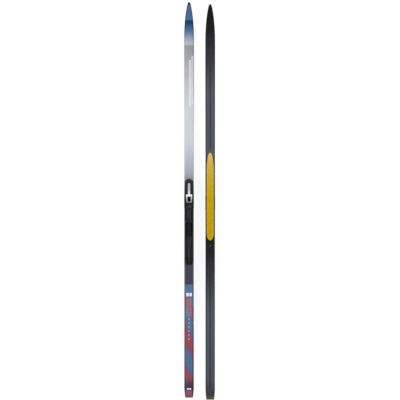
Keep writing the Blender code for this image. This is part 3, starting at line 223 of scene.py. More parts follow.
class Finish:
    """A material whose shader is written as expressions."""

    def __init__(self, name, **constants):
        self.material = bpy.data.materials.new(name)
        self.material.use_nodes = True
        self.tree = self.material.node_tree
        self.shader = self.tree.nodes["Principled BSDF"]
        for socket, value in constants.items():
            self.shader.inputs[socket.replace("_", " ")].default_value = value

    def node(self, kind, settings=None, sockets=None, output=0):
        """Any node: its settings first, then the values or links of its sockets."""
        made = self.tree.nodes.new(kind)
        for name, setting in (settings or {}).items():
            if name == "stops":
                self.set_stops(made.color_ramp.elements, setting)
            else:
                setattr(made, name, setting)
        for name, value in (sockets or {}).items():
            if isinstance(value, Value):
                self.tree.links.new(value.socket, made.inputs[name])
            else:
                made.inputs[name].default_value = value
        return Value(self, made.outputs[output])

    def set_stops(self, elements, stops):
        for index, (position, colour) in enumerate(stops):
            stop = elements[index] if index < 2 else elements.new(position)
            stop.position = position
            stop.color = colour

    def feed(self, socket, value):
        self.tree.links.new(value.socket, self.shader.inputs[socket])

    def place(self):
        """Where a point of the surface is, in metres of the scene at rest."""
        return self.node("ShaderNodeTexCoord", output="Object")

    def split(self, vector):
        """The x of a vector; other("Y") and other("Z") of it give the rest."""
        return self.node("ShaderNodeSeparateXYZ", None, {0: vector})

    def facing(self):
        """The direction that the surface faces, split in the same way."""
        return self.split(self.node("ShaderNodeNewGeometry", output="Normal"))

    def on_ski(self, ski):
        """Millimetres across, along and up in a ski's own axes, and the three as one vector."""
        x = self.split(self.place())
        across = (x - ski.origin.x) * (ski.flip / MM)
        along = (x.other("Y") - ski.origin.y) / MM
        height = (x.other("Z") - ski.origin.z) * (ski.flip / MM)
        spot = self.node("ShaderNodeCombineXYZ", None, {0: across, 1: along, 2: height})
        return across, along, height, spot

    def stretched(self, spot, scale):
        return self.node("ShaderNodeVectorMath", {"operation": "MULTIPLY"}, {0: spot, 1: scale})

    def in_mm(self):
        return self.stretched(self.place(), (1 / MM, 1 / MM, 1 / MM))

    def noise(self, spot, scale, detail=2.0):
        """Cloudy values around 0.5; the scale is per millimetre, along each axis if three are given."""
        grain = self.stretched(spot, scale if isinstance(scale, tuple) else (scale, scale, scale))
        return self.node("ShaderNodeTexNoise", None, {"Vector": grain, "Scale": 1.0, "Detail": detail})

    def cells(self, spot, scale):
        """Distance to the nearest of many scattered points, as in a sand-blasted mould."""
        grain = self.stretched(spot, (scale, scale, scale))
        return self.node("ShaderNodeTexVoronoi", None, {"Vector": grain, "Scale": 1.0})

    def blend(self, first, second, share, mode="MIX"):
        settings = {"data_type": "RGBA", "blend_type": mode}
        return self.node("ShaderNodeMix", settings, {0: share, 6: first, 7: second}, output=2)

    def shade(self, colour, amount):
        """A colour made lighter or darker by a factor."""
        grey = self.node("ShaderNodeCombineXYZ", None, {0: amount, 1: amount, 2: amount})
        return self.blend(colour, grey, 1.0, "MULTIPLY")

    def fade(self, value, stops):
        """Colours along a value: pairs of a place and a colour, from low to high."""
        low = stops[0][0]
        span = stops[-1][0] - low
        share = (value - low) / span
        marks = [((place - low) / span, paint(*colour)) for place, colour in stops]
        return self.node("ShaderNodeValToRGB", {"stops": marks}, {0: share})

    def bump(self, height, microns):
        """Fine relief, with its depth in thousandths of a millimetre."""
        sockets = {"Height": height, "Distance": microns * MM / 1000, "Strength": 1.0}
        self.feed("Normal", self.node("ShaderNodeBump", None, sockets))


print("white paint is", paint(255, 255, 255))

# %% [markdown]
# ## Dressing the solids
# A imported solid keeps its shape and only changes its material. Some finishes are the same everywhere, while
# others, such as a print, depend on the place along the ski. The first kind is made once and shared. The
# second is made once for each ski, in that ski's own axes.

# %% Two ways to dress a node


def dress(finish, names, skis=SKIS):
    """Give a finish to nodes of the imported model."""
    for ski in skis:
        for name in names:
            data = frame["nodes"][ski.node(name)].data
            data.materials.clear()
            data.materials.append(finish.material)
    print(finish.material.name, "on", len(names) * len(skis), "nodes")


def dress_each(make, name):
    """Make a finish for each ski and give it to that ski's node."""
    for ski in SKIS:
        dress(make(ski), [name], [ski])


print("ready to dress", len(SKIS), "skis")

# %% [markdown]
# ## Light
# The pair lay under soft light that came a little more from the left: the right shoulders are a bit darker.
# One small lamp would throw hard shadows. An even sky gives the softness and two long lamps give some
# direction. Together they are set so that a colour looks as it is named.

# %% Sky and lamps
WHITE = (1.0, 1.0, 1.0, 1.0)
SKY_STRENGTH = 0.5
LAMP_SIDE = 2.4
LAMP_HEIGHT = 2.0
LAMP_SIZE = (1.6, 5.0)
LEFT_POWER = 68.0
RIGHT_POWER = 54.0
bpy.context.scene.view_settings.view_transform = "Standard"
world = bpy.data.worlds.new("studio")
world.use_nodes = True
sky = world.node_tree.nodes["Background"]
sky.inputs["Color"].default_value = WHITE
sky.inputs["Strength"].default_value = SKY_STRENGTH
bpy.context.scene.world = world


def soft_lamp(name, side, power):
    """A long rectangular lamp to one side, turned towards the middle of the floor."""
    data = bpy.data.lights.new(name, "AREA")
    data.shape = "RECTANGLE"
    data.size, data.size_y = LAMP_SIZE
    data.energy = power
    lamp = into_scene(name, data)
    lamp.location = (side * LAMP_SIDE, 0.0, LAMP_HEIGHT)
    lamp.rotation_euler = (0.0, side * math.atan2(LAMP_SIDE, LAMP_HEIGHT), 0.0)
    lamp.visible_camera = False


soft_lamp("left_lamp", -1, LEFT_POWER)
soft_lamp("right_lamp", 1, RIGHT_POWER)
print("lamps of", LEFT_POWER, "and", RIGHT_POWER, "watts")

# %% [markdown]
# ## Floor
# The skis lay on white paper without an edge. A bright floor lit by lamps alone would show their falloff, so
# this one glows a little, as a light table does, and runs into white. A faint mottle keeps it paper.

# %% Glowing paper
FLOOR_HALF = 12.0
FLOOR_GLOW = 0.89
FLOOR_DARK = (0.145, 0.145, 0.145, 1.0)
FLOOR_LIGHT = (0.16, 0.16, 0.16, 1.0)
MOTTLE_SCALE = 0.8
corners = [(x * FLOOR_HALF, y * FLOOR_HALF, 0.0) for x, y in ((-1, -1), (1, -1), (1, 1), (-1, 1))]
floor_data = bpy.data.meshes.new("floor")
floor_data.from_pydata(corners, [], [(0, 1, 2, 3)])
floor = into_scene("floor", floor_data)
paper = Finish("studio_floor", Roughness=0.9, Specular_IOR_Level=0.0, Emission_Strength=FLOOR_GLOW,
               Emission_Color=WHITE)
paper.feed("Base Color", paper.blend(FLOOR_DARK, FLOOR_LIGHT, paper.noise(paper.place(), MOTTLE_SCALE)))
floor_data.materials.append(paper.material)
print("floor", 2 * FLOOR_HALF, "m wide")

# %% [markdown]
# ## The printed top sheet
# The top sheet is a printed film under satin lacquer. It runs from steel blue at the tip through a white and
# silver middle to graphite beside the binding, and ends in red and blue at the tail. A picture could hold
# this, but written as sums of "along" and "across" it stays sharp at any distance. First come the colours
# that fade into each other along the ski, each with its place in millimetres from the boot bar.

# %% Colours along the top
GRAPHITE = (60, 61, 66)
GRAPHITE_BLUE = (64, 66, 79)
SILVER = (206, 207, 212)
LILAC = (190, 194, 205)
NAVY = (11, 62, 103)
STEEL_BLUE = (70, 103, 138)
TOP_FADE = [
    (-1000, GRAPHITE_BLUE), (-330, GRAPHITE_BLUE), (-300, GRAPHITE), (46, GRAPHITE), (59, (70, 71, 76)),
    (84, (100, 101, 107)), (98, (120, 121, 128)), (109, (147, 148, 158)), (122, (152, 153, 164)),
    (162, (168, 169, 181)), (300, (202, 203, 211)), (480, SILVER), (720, (177, 177, 182)),
    (789, (160, 162, 167)), (793, LILAC), (830, (142, 158, 182)), (850, (102, 127, 161)),
    (871, (69, 103, 140)), (904, NAVY), (915, NAVY), (919, STEEL_BLUE), (1000, (64, 104, 138)),
]
print("top fade:", len(TOP_FADE), "stops")

# %% [markdown]
# ## Red and blue at the tail
# Behind the binding, blue and red melt into each other in slanting bands and end in plum and rose. Painted
# bands would need a picture. A sine wave along a slanting line makes them, and a little noise bends the line
# so that no two bands are alike.

# %% Slanting bands
TAIL_BLUE = paint(83, 111, 147)
TAIL_RED = paint(146, 76, 92)
TAIL_PURPLE = paint(112, 88, 120)
TAIL_ROSE = paint(130, 88, 100)
TAIL_PLUM = paint(64, 42, 66)
ART_FRONT = -424.0
ART_PERIOD = 190.0
ART_SLANT = 2.6
ART_DRIFT = 120.0
DRIFT_SCALE = (0.03, 0.008, 0.0)
TO_PURPLE = (-0.55, 0.0)
TO_RED = (0.0, 0.5)
BLUE_LEAD = (ART_FRONT - 30, ART_FRONT - 80)
PLUM_SPAN = (-890, -945)
PLUM_INK = 0.85
ROSE_SPAN = (-959, -965)


def tail_art(finish, across, along, spot):
    """Slanting bands of blue and red that melt into each other, dark before a rose end."""
    drift = finish.noise(spot, DRIFT_SCALE, 1.0) - 0.5
    slant = along + across * ART_SLANT + drift * ART_DRIFT
    swing = (slant * (2 * math.pi / ART_PERIOD)).sine()
    bands = finish.blend(TAIL_BLUE, TAIL_PURPLE, swing.ease(*TO_PURPLE))
    bands = finish.blend(bands, TAIL_RED, swing.ease(*TO_RED))
    bands = finish.blend(TAIL_BLUE, bands, along.ease(*BLUE_LEAD))
    bands = finish.blend(bands, TAIL_PLUM, along.ease(*PLUM_SPAN) * PLUM_INK)
    return finish.blend(bands, TAIL_ROSE, along.ease(*ROSE_SPAN))


print("a band every", ART_PERIOD, "mm")

# %% [markdown]
# ## Small marks on the tail
# On the bands are white marks: a column of dots, fine chevrons, two bars and a plain band. Thin solids laid
# on the sheet would flicker against it. As masks they are ink: each is 1 where the ink is and 0 elsewhere.

# %% Dots, bars, band and chevrons
DOT_FIRST = -701.0
DOT_PITCH = 20.3
DOT_EDGE = (2.7, 1.9)
DOT_COLUMN = (-706, -594)
BAR_ENDS = (-484, -467)
BAR_SIDES = (2.0, 13.5)
BAND_ENDS = (-958, -951)
BAND_EDGE = (10.8, 10.2)
CHEVRON_ENDS = (-588, -494)
CHEVRON_PITCH = 6.0
CHEVRON_SLOPE = 1.2
CHEVRON_LINE = (0.36, 0.64)
CHEVRON_EDGE = (13.5, 12.5)


def reach(sideways, lengthways):
    """How far a place is from a point, from its two distances."""
    return (sideways * sideways + lengthways * lengthways).root()


def tail_marks(across, along):
    """White marks on the tail: a column of dots, two short bars and a plain band."""
    step = (along - DOT_FIRST + DOT_PITCH / 2).remainder(DOT_PITCH) - DOT_PITCH / 2
    dots = reach(across, step).ease(*DOT_EDGE) * along.within(*DOT_COLUMN, 1.0)
    bars = along.within(*BAR_ENDS, 0.3) * abs(across).within(*BAR_SIDES, 0.3)
    band = along.within(*BAND_ENDS, 0.4) * abs(across).ease(*BAND_EDGE)
    return dots.at_least(bars).at_least(band)


def chevrons(across, along):
    """Fine pale chevrons behind the bars."""
    lines = ((along + abs(across) * CHEVRON_SLOPE) / CHEVRON_PITCH).remainder(1.0)
    field = along.within(*CHEVRON_ENDS, 4.0) * abs(across).ease(*CHEVRON_EDGE)
    return lines.within(*CHEVRON_LINE, 0.06) * field


print("dots every", DOT_PITCH, "mm, chevrons every", CHEVRON_PITCH, "mm")

# %% [markdown]
# ## Dots and stripes on the silver
# The blue fade breaks up into small grey dots towards the middle, as a printer's halftone does, and two long
# pale stripes lie on the silver. The remainder of a division repeats one dot over the sheet, so thousands of
# dots cost a few nodes.

# %% Halftone and stripes
HALFTONE_PITCH = 2.4
HALFTONE_RADIUS = 1.15
HALFTONE_GREY = paint(128, 129, 136)
HALFTONE_GROWS = (530, 760)
HALFTONE_STARTS = (520, 560)
HALFTONE_STOPS = (790, 785)
HALFTONE_SOFT = 0.15
INNER_STRIPE = ((0.0, 9.5), (480, 716))
OUTER_STRIPE = ((12.5, 20.5), (490, 738))


def halftone(across, along):
    """Small grey dots that thin out from the blue fade towards the middle of the ski."""
    sideways = across.remainder(HALFTONE_PITCH) - HALFTONE_PITCH / 2
    lengthways = along.remainder(HALFTONE_PITCH) - HALFTONE_PITCH / 2
    radius = along.ease(*HALFTONE_GROWS) * HALFTONE_RADIUS
    dots = (radius - reach(sideways, lengthways)).ease(-HALFTONE_SOFT, HALFTONE_SOFT)
    return dots * along.ease(*HALFTONE_STOPS) * along.ease(*HALFTONE_STARTS)


def pale_stripe(across, along, sides, ends):
    return across.within(*sides, 0.4) * along.within(*ends, 1.0)


print("halftone every", HALFTONE_PITCH, "mm")

# %% [markdown]
# ## The top sheet, put together
# Ink goes on in order, as in a press: fade, dots, stripes and tail. The top beside the binding is then made
# near black, and the sloping shoulders are darkened with painted shade. A fine flake and long smears in the
# lacquer come last. One big picture would hide this order, but with one blend for each layer it can be read
# from the lines.

# %% Top print
PRINT_WHITE = paint(232, 234, 238)
BLACK_BESIDE_BINDING = paint(5, 5, 6)
BESIDE_BINDING_ENDS = (-318, 24)
BESIDE_BINDING_SHARE = 0.9
HALFTONE_INK = 0.35
STRIPE_INK = 0.75
CHEVRON_INK = 0.3
ART_EDGE = (ART_FRONT + 0.4, ART_FRONT - 0.4)
SLOPES = (0.1, 0.3)
SHOULDER_SHADE = 0.06
WAIST_SPAN = (150, 40)
WAIST_SHADE = 0.46
TIP_SPAN = (780, 860)
TIP_SHADE = 0.3
FLAKE_SCALE = 2.2
SMEAR_SCALE = (0.25, 0.012, 0.25)
RIPPLE_SCALE = 0.9


def top_print(ski):
    """Every layer of ink, from the fade to the lacquer."""
    finish = Finish(f"{ski.side}_top_print", Specular_IOR_Level=0.08)
    across, along, _, spot = finish.on_ski(ski)
    colour = finish.fade(along, TOP_FADE)
    colour = finish.blend(colour, HALFTONE_GREY, halftone(across, along) * HALFTONE_INK)
    stripes = pale_stripe(across, along, *INNER_STRIPE).at_least(pale_stripe(across, along, *OUTER_STRIPE))
    colour = finish.blend(colour, PRINT_WHITE, stripes * STRIPE_INK)
    art = tail_art(finish, across, along, spot)
    art = finish.blend(art, PRINT_WHITE, chevrons(across, along) * CHEVRON_INK)
    art = finish.blend(art, PRINT_WHITE, tail_marks(across, along))
    colour = finish.blend(colour, art, along.ease(*ART_EDGE))
    # The top beside the binding is made near black.
    colour = finish.blend(colour, BLACK_BESIDE_BINDING, along.within(*BESIDE_BINDING_ENDS, 6.0) * BESIDE_BINDING_SHARE)
    # The sloping shoulders are darkened with painted shade, most beside and behind the binding and at the tip.
    slope = abs(finish.facing()).ease(*SLOPES)
    depth = SHOULDER_SHADE + along.ease(*WAIST_SPAN) * WAIST_SHADE + along.ease(*TIP_SPAN) * TIP_SHADE
    colour = finish.shade(colour, 1.0 - slope * depth)
    flake = finish.noise(spot, FLAKE_SCALE, 3.0)
    finish.feed("Base Color", finish.shade(colour, flake.spread(0.95, 1.05)))
    finish.feed("Roughness", finish.noise(spot, SMEAR_SCALE, 3.0).spread(0.30, 0.52))
    finish.bump(finish.noise(spot, RIPPLE_SCALE), 30)
    return finish


dress_each(top_print, "top_sheet")

# %% [markdown]
# ## The running base
# The base is sintered polyethylene: dark, a little waxy, and ground by a stone that leaves fine lines along
# the ski. It is darker towards the tip, behind the skin and along both edges. The lines are too fine to
# model, so they are relief in the finish, while the groove down the middle is real shape in the solid.

# %% Base finish
BASE_GREY = (81, 84, 96)
UNDER_SKIN = (24, 22, 10)
BASE_FADE = [
    (-989, (80, 80, 79)), (-973, (53, 54, 58)), (-958, (57, 59, 65)), (-900, (75, 78, 90)),
    (-560, BASE_GREY), (-380, (53, 54, 62)), (-250, (25, 25, 28)), (-195, (20, 20, 20)),
    (-186, UNDER_SKIN), (160, UNDER_SKIN), (236, BASE_GREY), (560, BASE_GREY), (727, (51, 51, 58)),
    (864, (27, 27, 28)), (940, (19, 19, 20)), (1000, (16, 16, 17)),
]
EDGE_TONE = paint(40, 40, 45)
EDGE_SPAN = (15.5, 20.5)
EDGE_DARKENING = 0.6
FRONT_GROOVE = (277, 700)
REAR_GROOVE = (-939, -355)
GROOVE_SIDES = (6.0, 3.5)
GROOVE_SHADE = 0.45
BASE_DOT_Y = -216.5
BASE_DOT_GREY = paint(120, 122, 135)
BASE_DOT_SQUARES = (9.0, 5.0)
BASE_DOT_INK = 0.6
GRIND_SCALE = (3.2, 0.02, 3.2)


def running_base(ski):
    """Ground plastic: darker at its edges, with painted shade in the groove and one small mark behind the skin.
    """
    finish = Finish(f"{ski.side}_running_base", Specular_IOR_Level=0.15)
    across, along, _, spot = finish.on_ski(ski)
    colour = finish.fade(along, BASE_FADE)
    # Both edges are made darker.
    colour = finish.blend(colour, EDGE_TONE, abs(across).ease(*EDGE_SPAN) * EDGE_DARKENING)
    # The groove is darkened with painted shade.
    grooved = along.within(*FRONT_GROOVE, 12.0).at_least(along.within(*REAR_GROOVE, 12.0))
    colour = finish.shade(colour, 1.0 - abs(across).ease(*GROOVE_SIDES) * grooved * GROOVE_SHADE)
    past = along - BASE_DOT_Y
    dot = (past * past + across * across).ease(*BASE_DOT_SQUARES)
    colour = finish.blend(colour, BASE_DOT_GREY, dot * BASE_DOT_INK)
    strokes = finish.noise(spot, GRIND_SCALE, 3.0)
    finish.feed("Base Color", finish.shade(colour, strokes.spread(0.86, 1.14)))
    finish.feed("Roughness", strokes.spread(0.34, 0.54))
    finish.bump(strokes, 40)
    return finish


dress_each(running_base, "base_sheet")

# %% [markdown]
# ## Layers inside the ski
# Between base and top lie two fibre laminates and a light wooden core. They show only where the ski is cut
# open, but a part that is taken apart should still look like what it is. Noise drawn out along the ski gives
# the grain of wood, and two crossed sine waves give a woven fibre.

# %% Wood and fibre
GRAIN_SCALE = (0.6, 0.012, 0.6)
WEAVE_SCALE = 2.0
wood = Finish("core_wood", Roughness=0.7, Specular_IOR_Level=0.2)
grain = wood.noise(wood.in_mm(), GRAIN_SCALE, 4.0)
wood.feed("Base Color", wood.blend(paint(196, 158, 112), paint(222, 190, 146), grain))
wood.bump(grain, 100)
dress(wood, ["core"])

fibre = Finish("fibre_laminate", Specular_IOR_Level=0.3)
warp = fibre.split(fibre.in_mm())
weft = warp.other("Y") * WEAVE_SCALE
warp = warp * WEAVE_SCALE
weave = ((warp + weft).sine() * (warp - weft).sine()).ease(-1.0, 1.0)
fibre.feed("Base Color", fibre.blend(paint(24, 24, 26), paint(46, 46, 50), weave))
fibre.feed("Roughness", weave.spread(0.35, 0.55))
dress(fibre, ["lower_laminate", "upper_laminate"])

# %% [markdown]
# ## Fillers at the ends
# In front of the core and behind it the ski is filled with black plastic. A mould blasted with sand leaves
# fine pits. Modelling them would cost millions of faces, so scattered cells make them as relief.

# %% Moulded plastic
CLOUD_SCALE = 0.12
CLOUD_EDGE = (0.3, 0.7)
CLOUD_GLOSS = 0.1
PIT_SCALE = 1.6
PIT_GLOSS = 0.06


def blasted(finish, spot, roughness):
    """The pits that a blasted mould leaves; gives back the soft cloud that goes with them."""
    cloud = finish.noise(spot, CLOUD_SCALE, 3.0)
    pits = finish.cells(spot, PIT_SCALE)
    finish.feed("Roughness", roughness + cloud * CLOUD_GLOSS + pits * PIT_GLOSS)
    finish.bump(pits, 40)
    return cloud


def moulded(name, dark, light, roughness):
    """Moulded plastic: a faintly cloudy colour and the fine relief of a blasted mould."""
    finish = Finish(name, Specular_IOR_Level=0.14)
    cloud = blasted(finish, finish.in_mm(), roughness)
    finish.feed("Base Color", finish.blend(dark, light, cloud.ease(*CLOUD_EDGE)))
    return finish


dress(moulded("end_filler", paint(24, 24, 26), paint(34, 34, 36), 0.55), ["tip_spacer", "tail_spacer"])

# %% [markdown]
# ## Sidewalls
# The sidewalls are milled strips of black plastic, and the cutter leaves fine lines along them. They could be
# cut into the solid, but they are thinner than a hair. Noise that is long in one direction does it.

# %% Milled edge
TOOLING_SCALE = (0.4, 0.02, 4.0)
milled = Finish("milled_sidewall", Specular_IOR_Level=0.15)
tooling = milled.noise(milled.in_mm(), TOOLING_SCALE, 3.0)
milled.feed("Base Color", milled.blend(paint(26, 26, 30), paint(44, 44, 49), tooling))
milled.feed("Roughness", tooling.spread(0.4, 0.6))
milled.bump(tooling, 30)
dress(milled, ["left_sidewall", "right_sidewall"])

# %% [markdown]
# ## End caps
# The tip cap is black below and deep navy above. The tail cap is rose above, and grey below with a thin paler
# rim where it has been knocked on the ground. Each cap is one solid, so its two colours are told apart in the
# finish: at the tip by the way that the surface faces, at the flat tail by height.

# %% Tip and tail caps
CAP_BLACK = paint(20, 20, 24)
CAP_NAVY = paint(20, 45, 68)
CAP_ROSE = paint(112, 79, 88)
CAP_GREYS = (paint(73, 73, 73), paint(86, 86, 85))
CAP_RIM = paint(120, 121, 124)
RIM_SPAN = (-996.0, -997.2)
RIM_CHIPS = 1.2
RIM_WEAR = 0.7
FACES_UP = (0.1, 0.3)
PRINT_LINE = (9.5, 10.5)
SMALL_CLOUD_SCALE = 0.3
CAP_PIT_SCALE = 1.4


def tip_cap(ski):
    """Moulded cap, navy on what faces up on a ski that stands."""
    finish = Finish(f"{ski.side}_tip_cap", Specular_IOR_Level=0.14)
    _, _, _, spot = finish.on_ski(ski)
    upward = finish.facing().other("Z") * ski.flip
    colour = finish.blend(CAP_BLACK, CAP_NAVY, upward.ease(*FACES_UP))
    cloud = blasted(finish, spot, 0.35)
    finish.feed("Base Color", finish.shade(colour, cloud.spread(0.8, 1.2)))
    return finish


def tail_cap(ski):
    """Moulded cap, rose where the print goes over it and rubbed pale at its lower rim."""
    finish = Finish(f"{ski.side}_tail_cap", Specular_IOR_Level=0.15)
    _, along, height, spot = finish.on_ski(ski)
    cloud = finish.noise(spot, SMALL_CLOUD_SCALE, 3.0)
    printed = height.ease(*PRINT_LINE)
    colour = finish.blend(finish.blend(*CAP_GREYS, cloud), CAP_ROSE, printed)
    rim = (along + cloud * RIM_CHIPS).ease(*RIM_SPAN) * (1.0 - printed)
    finish.feed("Base Color", finish.blend(colour, CAP_RIM, rim * RIM_WEAR))
    finish.feed("Roughness", cloud.spread(0.42, 0.57))
    finish.bump(finish.cells(spot, CAP_PIT_SCALE), 40)
    return finish


dress_each(tip_cap, "tip_protector")
dress_each(tail_cap, "tail_protector")

# %% [markdown]
# ## Black plastic of the binding
# The binding is glass-filled plastic with a blasted surface, and boots rub it paler. The same pale also
# stands in for painted light on one patch. Wear could be painted by hand, but it sits where the shape says, so
# here it follows from height and place. The plain black comes first, together with the measures that the wear
# will need.

# %% Black of a unit
UNIT_DARK = paint(19, 19, 23)
UNIT_LIGHT = paint(28, 28, 33)
# This pale stands for wear, and on the toe unit's deck for painted light.
PALE_WEAR_AND_LIGHT = paint(58, 58, 65)
PLATFORM = 42.0
UNIT_PIT_SCALE = 1.2


def unit_black(ski, name):
    """Black plastic of a binding unit, with its place on the ski for what follows."""
    finish = Finish(f"{ski.side}_{name}", Specular_IOR_Level=0.14)
    across, along, height, spot = finish.on_ski(ski)
    cloud = finish.noise(spot, CLOUD_SCALE, 3.0).ease(*CLOUD_EDGE)
    pits = finish.cells(spot, UNIT_PIT_SCALE)
    finish.feed("Roughness", 0.5 + cloud * CLOUD_GLOSS + pits * PIT_GLOSS)
    finish.bump(pits, 60)
    return finish, finish.blend(UNIT_DARK, UNIT_LIGHT, cloud), across, along, height - PLATFORM


print("heights count from the platform,", PLATFORM, "mm up")

# %% [markdown]
# ## Wear and painted light on the toe unit
# The boot's sole rubs the tops of the two ridges and the rear rim, and the deck that the jaw slides on gets
# painted light. These masks could be added up, but then a corner where two meet would be too pale. Instead the
# strongest
# one wins at each place.

# %% Toe unit
TOE_REAR = -105.0
TOE_WEAR_AND_LIGHT = 0.75
RIDGE_TOPS = (10.5, 12.6)
RIDGE_SIDES = (10.4, 9.4)
RIM_CURVE = 0.018
RIM_WIDTH = (6.5, 4.0)
RIM_TOPS = (7.0, 8.0)
JAW_TRACK = (-40, -6)
TRACK_SIDES = (15.8, 14.8)
TRACK_LIGHT = 0.6


def toe_black(ski):
    """The sole rubs the two ridges and the rear rim paler, and the deck that the jaw slides on gets painted
    light.
    """
    finish, colour, across, along, height = unit_black(ski, "toe_black")
    ridges = height.ease(*RIDGE_TOPS) * abs(across).ease(*RIDGE_SIDES)
    rim = (along - TOE_REAR + across * across * RIM_CURVE).ease(*RIM_WIDTH) * height.ease(*RIM_TOPS)
    # The deck that the jaw slides on is made paler with painted light.
    track_light = along.within(*JAW_TRACK, 2.0) * abs(across).ease(*TRACK_SIDES) * TRACK_LIGHT
    wear = ridges.at_least(rim).at_least(track_light) * TOE_WEAR_AND_LIGHT
    finish.feed("Base Color", finish.blend(colour, PALE_WEAR_AND_LIGHT, wear))
    return finish


dress_each(toe_black, "toe_chassis")

# %% [markdown]
# ## Wear on the heel plate
# The heel comes down again and again on the ridges and on the field between them, which tapers to the rear.
# The field could be cut out as its own piece, but it is the same plastic, so a slanting line bounds it in the
# mask.

# %% Heel plate
HEEL_FIELD = (-294, -186)
HEEL_APEX = -293.5
HEEL_TAPER = 0.0564
FIELD_EDGE = (3.6, 2.2)
FIELD_WEAR = 0.45
HEEL_TOPS = (9.6, 11.0)
HEEL_START = (-295, -293)
HEEL_WEAR = 0.6
REAR_SPAN = (-215, -275)
REAR_WEAR = 0.25


def heel_black(ski):
    """The heel rubs the ridges and the tapering field between them paler."""
    finish, colour, across, along, height = unit_black(ski, "heel_black")
    outside = abs(across) - (along - HEEL_APEX) * HEEL_TAPER
    field = outside.ease(*FIELD_EDGE) * along.within(*HEEL_FIELD, 2.0)
    ridges = height.ease(*HEEL_TOPS) * along.ease(*HEEL_START)
    rear = along.ease(*REAR_SPAN) * REAR_WEAR
    wear = (field * (rear + FIELD_WEAR)).at_least(ridges * (rear + HEEL_WEAR))
    finish.feed("Base Color", finish.blend(colour, PALE_WEAR_AND_LIGHT, wear))
    return finish


dress_each(heel_black, "heel_plate")

# %% [markdown]
# ## Locks, cover and rail
# More black pieces differ a little. The locks are rubbed where a thumb lifts them, the front cover is
# smoother and bluish on top with painted shade on its bevels, and the rail has a matt strip between glossy
# flanges that painted shade makes near black. They could share one black, but these small differences are
# what tells the pieces apart.

# %% Other blacks
LOCK_PIVOTS = {"toe_lock": -101.5, "heel_lock": -299.0}
BARREL_REAR = 3.5
BARREL_FRONT = 3.0
BARREL_WEAR = 0.6
COVER_TONES = (paint(30, 30, 42), paint(42, 42, 56))
COVER_BEVEL_SHADE = paint(12, 12, 16)
COVER_SIDES = (12.0, 15.5)
COVER_PIT_SCALE = 2.2
RAIL_TONES = (paint(22, 23, 26), paint(30, 31, 34))
RAIL_FLANGE_SHADE = paint(3, 3, 4)
RAIL_SIDES = (12.6, 13.4)
FLANGE_GLOSS = 0.25


def lock_black(ski, name, pivot):
    """A lock's tongue, paler on its barrel, where it is lifted."""
    finish, colour, _, along, _ = unit_black(ski, f"{name}_black")
    barrel = along.within(pivot - BARREL_REAR, pivot + BARREL_FRONT, 0.6)
    finish.feed("Base Color", finish.blend(colour, PALE_WEAR_AND_LIGHT, barrel * BARREL_WEAR))
    return finish


def cover_black(ski):
    """Satin black: bluish on top, and near black on its long bevels with painted shade."""
    finish = Finish(f"{ski.side}_cover_black", Specular_IOR_Level=0.2)
    across, _, _, spot = finish.on_ski(ski)
    cloud = finish.noise(spot, CLOUD_SCALE, 3.0)
    top = finish.blend(*COVER_TONES, cloud.ease(*CLOUD_EDGE))
    # Painted shade makes the long bevels near black.
    finish.feed("Base Color", finish.blend(top, COVER_BEVEL_SHADE, abs(across).ease(*COVER_SIDES)))
    finish.feed("Roughness", cloud.spread(0.36, 0.46))
    finish.bump(finish.cells(spot, COVER_PIT_SCALE), 20)
    return finish


def rail_black(ski):
    """The rail: a matt running strip in the middle, glossy flanges beside it made near black with painted
    shade.
    """
    finish = Finish(f"{ski.side}_rail_black", Specular_IOR_Level=0.04)
    across, _, _, spot = finish.on_ski(ski)
    pits = finish.cells(spot, PIT_SCALE)
    flange = abs(across).ease(*RAIL_SIDES)
    middle = finish.blend(*RAIL_TONES, finish.noise(spot, SMALL_CLOUD_SCALE, 3.0))
    # Painted shade makes the flanges near black.
    finish.feed("Base Color", finish.blend(middle, RAIL_FLANGE_SHADE, flange))
    finish.feed("Roughness", 0.5 - flange * FLANGE_GLOSS + pits * PIT_GLOSS)
    finish.bump(pits, 30)
    return finish


for ski in SKIS:
    for name, pivot in LOCK_PIVOTS.items():
        dress(lock_black(ski, name, pivot), [name], [ski])
dress_each(cover_black, "front_cover")
dress_each(rail_black, "mounting_plate")

# %% [markdown]
# ## Steel
# Pins, rod and screw are turned or drawn steel, which shows fine lines in one direction. A plain metal shader
# looks like a mirror. Lines in its colour, roughness and relief break the mirror up.

# %% Pins, rod and screw
DRAWN_LINES = (0.3, 5.0, 5.0)
LINE_GLOSS = 0.18


def drawn_metal(name, dark, light, roughness):
    """Metal with fine lines in one direction, from drawing, rolling or brushing."""
    finish = Finish(name, Metallic=1.0)
    streak = finish.noise(finish.in_mm(), DRAWN_LINES, 3.0)
    finish.feed("Base Color", finish.blend(dark, light, streak))
    finish.feed("Roughness", roughness + streak * LINE_GLOSS)
    finish.bump(streak, 20)
    return finish


pin_steel = drawn_metal("pin_steel", paint(165, 167, 170), paint(206, 208, 211), 0.25)
dress(pin_steel, ["left_lever_pin", "right_lever_pin", "toe_lock_pin", "heel_lock_pin"])
dress(drawn_metal("blackened_steel", paint(92, 92, 98), paint(118, 118, 124), 0.35), ["cover_screw"])
# The crank rod is made near black with painted shade.
dress(drawn_metal("shaded_dark_steel", paint(40, 40, 43), paint(56, 56, 60), 0.4), ["crank_rod"])

# %% [markdown]
# ## Jaw and lever
# The jaw is pressed steel with bright legs and a bow darkened with painted shade. The lever is painted
# silver, cool on its handle, with a painted highlight that makes it near white on its yoke. Both change along
# their length, so both are written in the ski's axes.

# %% Bright parts
# The bow's darker steel is painted shade.
JAW_BOW_SHADE = paint(150, 151, 155)
JAW_LEGS = paint(246, 247, 250)
JAW_LINES = (4.0, 0.3, 4.0)
LEG_SIDES = (5.5, 9.0)
LEG_REAR = (-2.0, 2.0)
SILVER_FLAKE_SCALE = 3.0
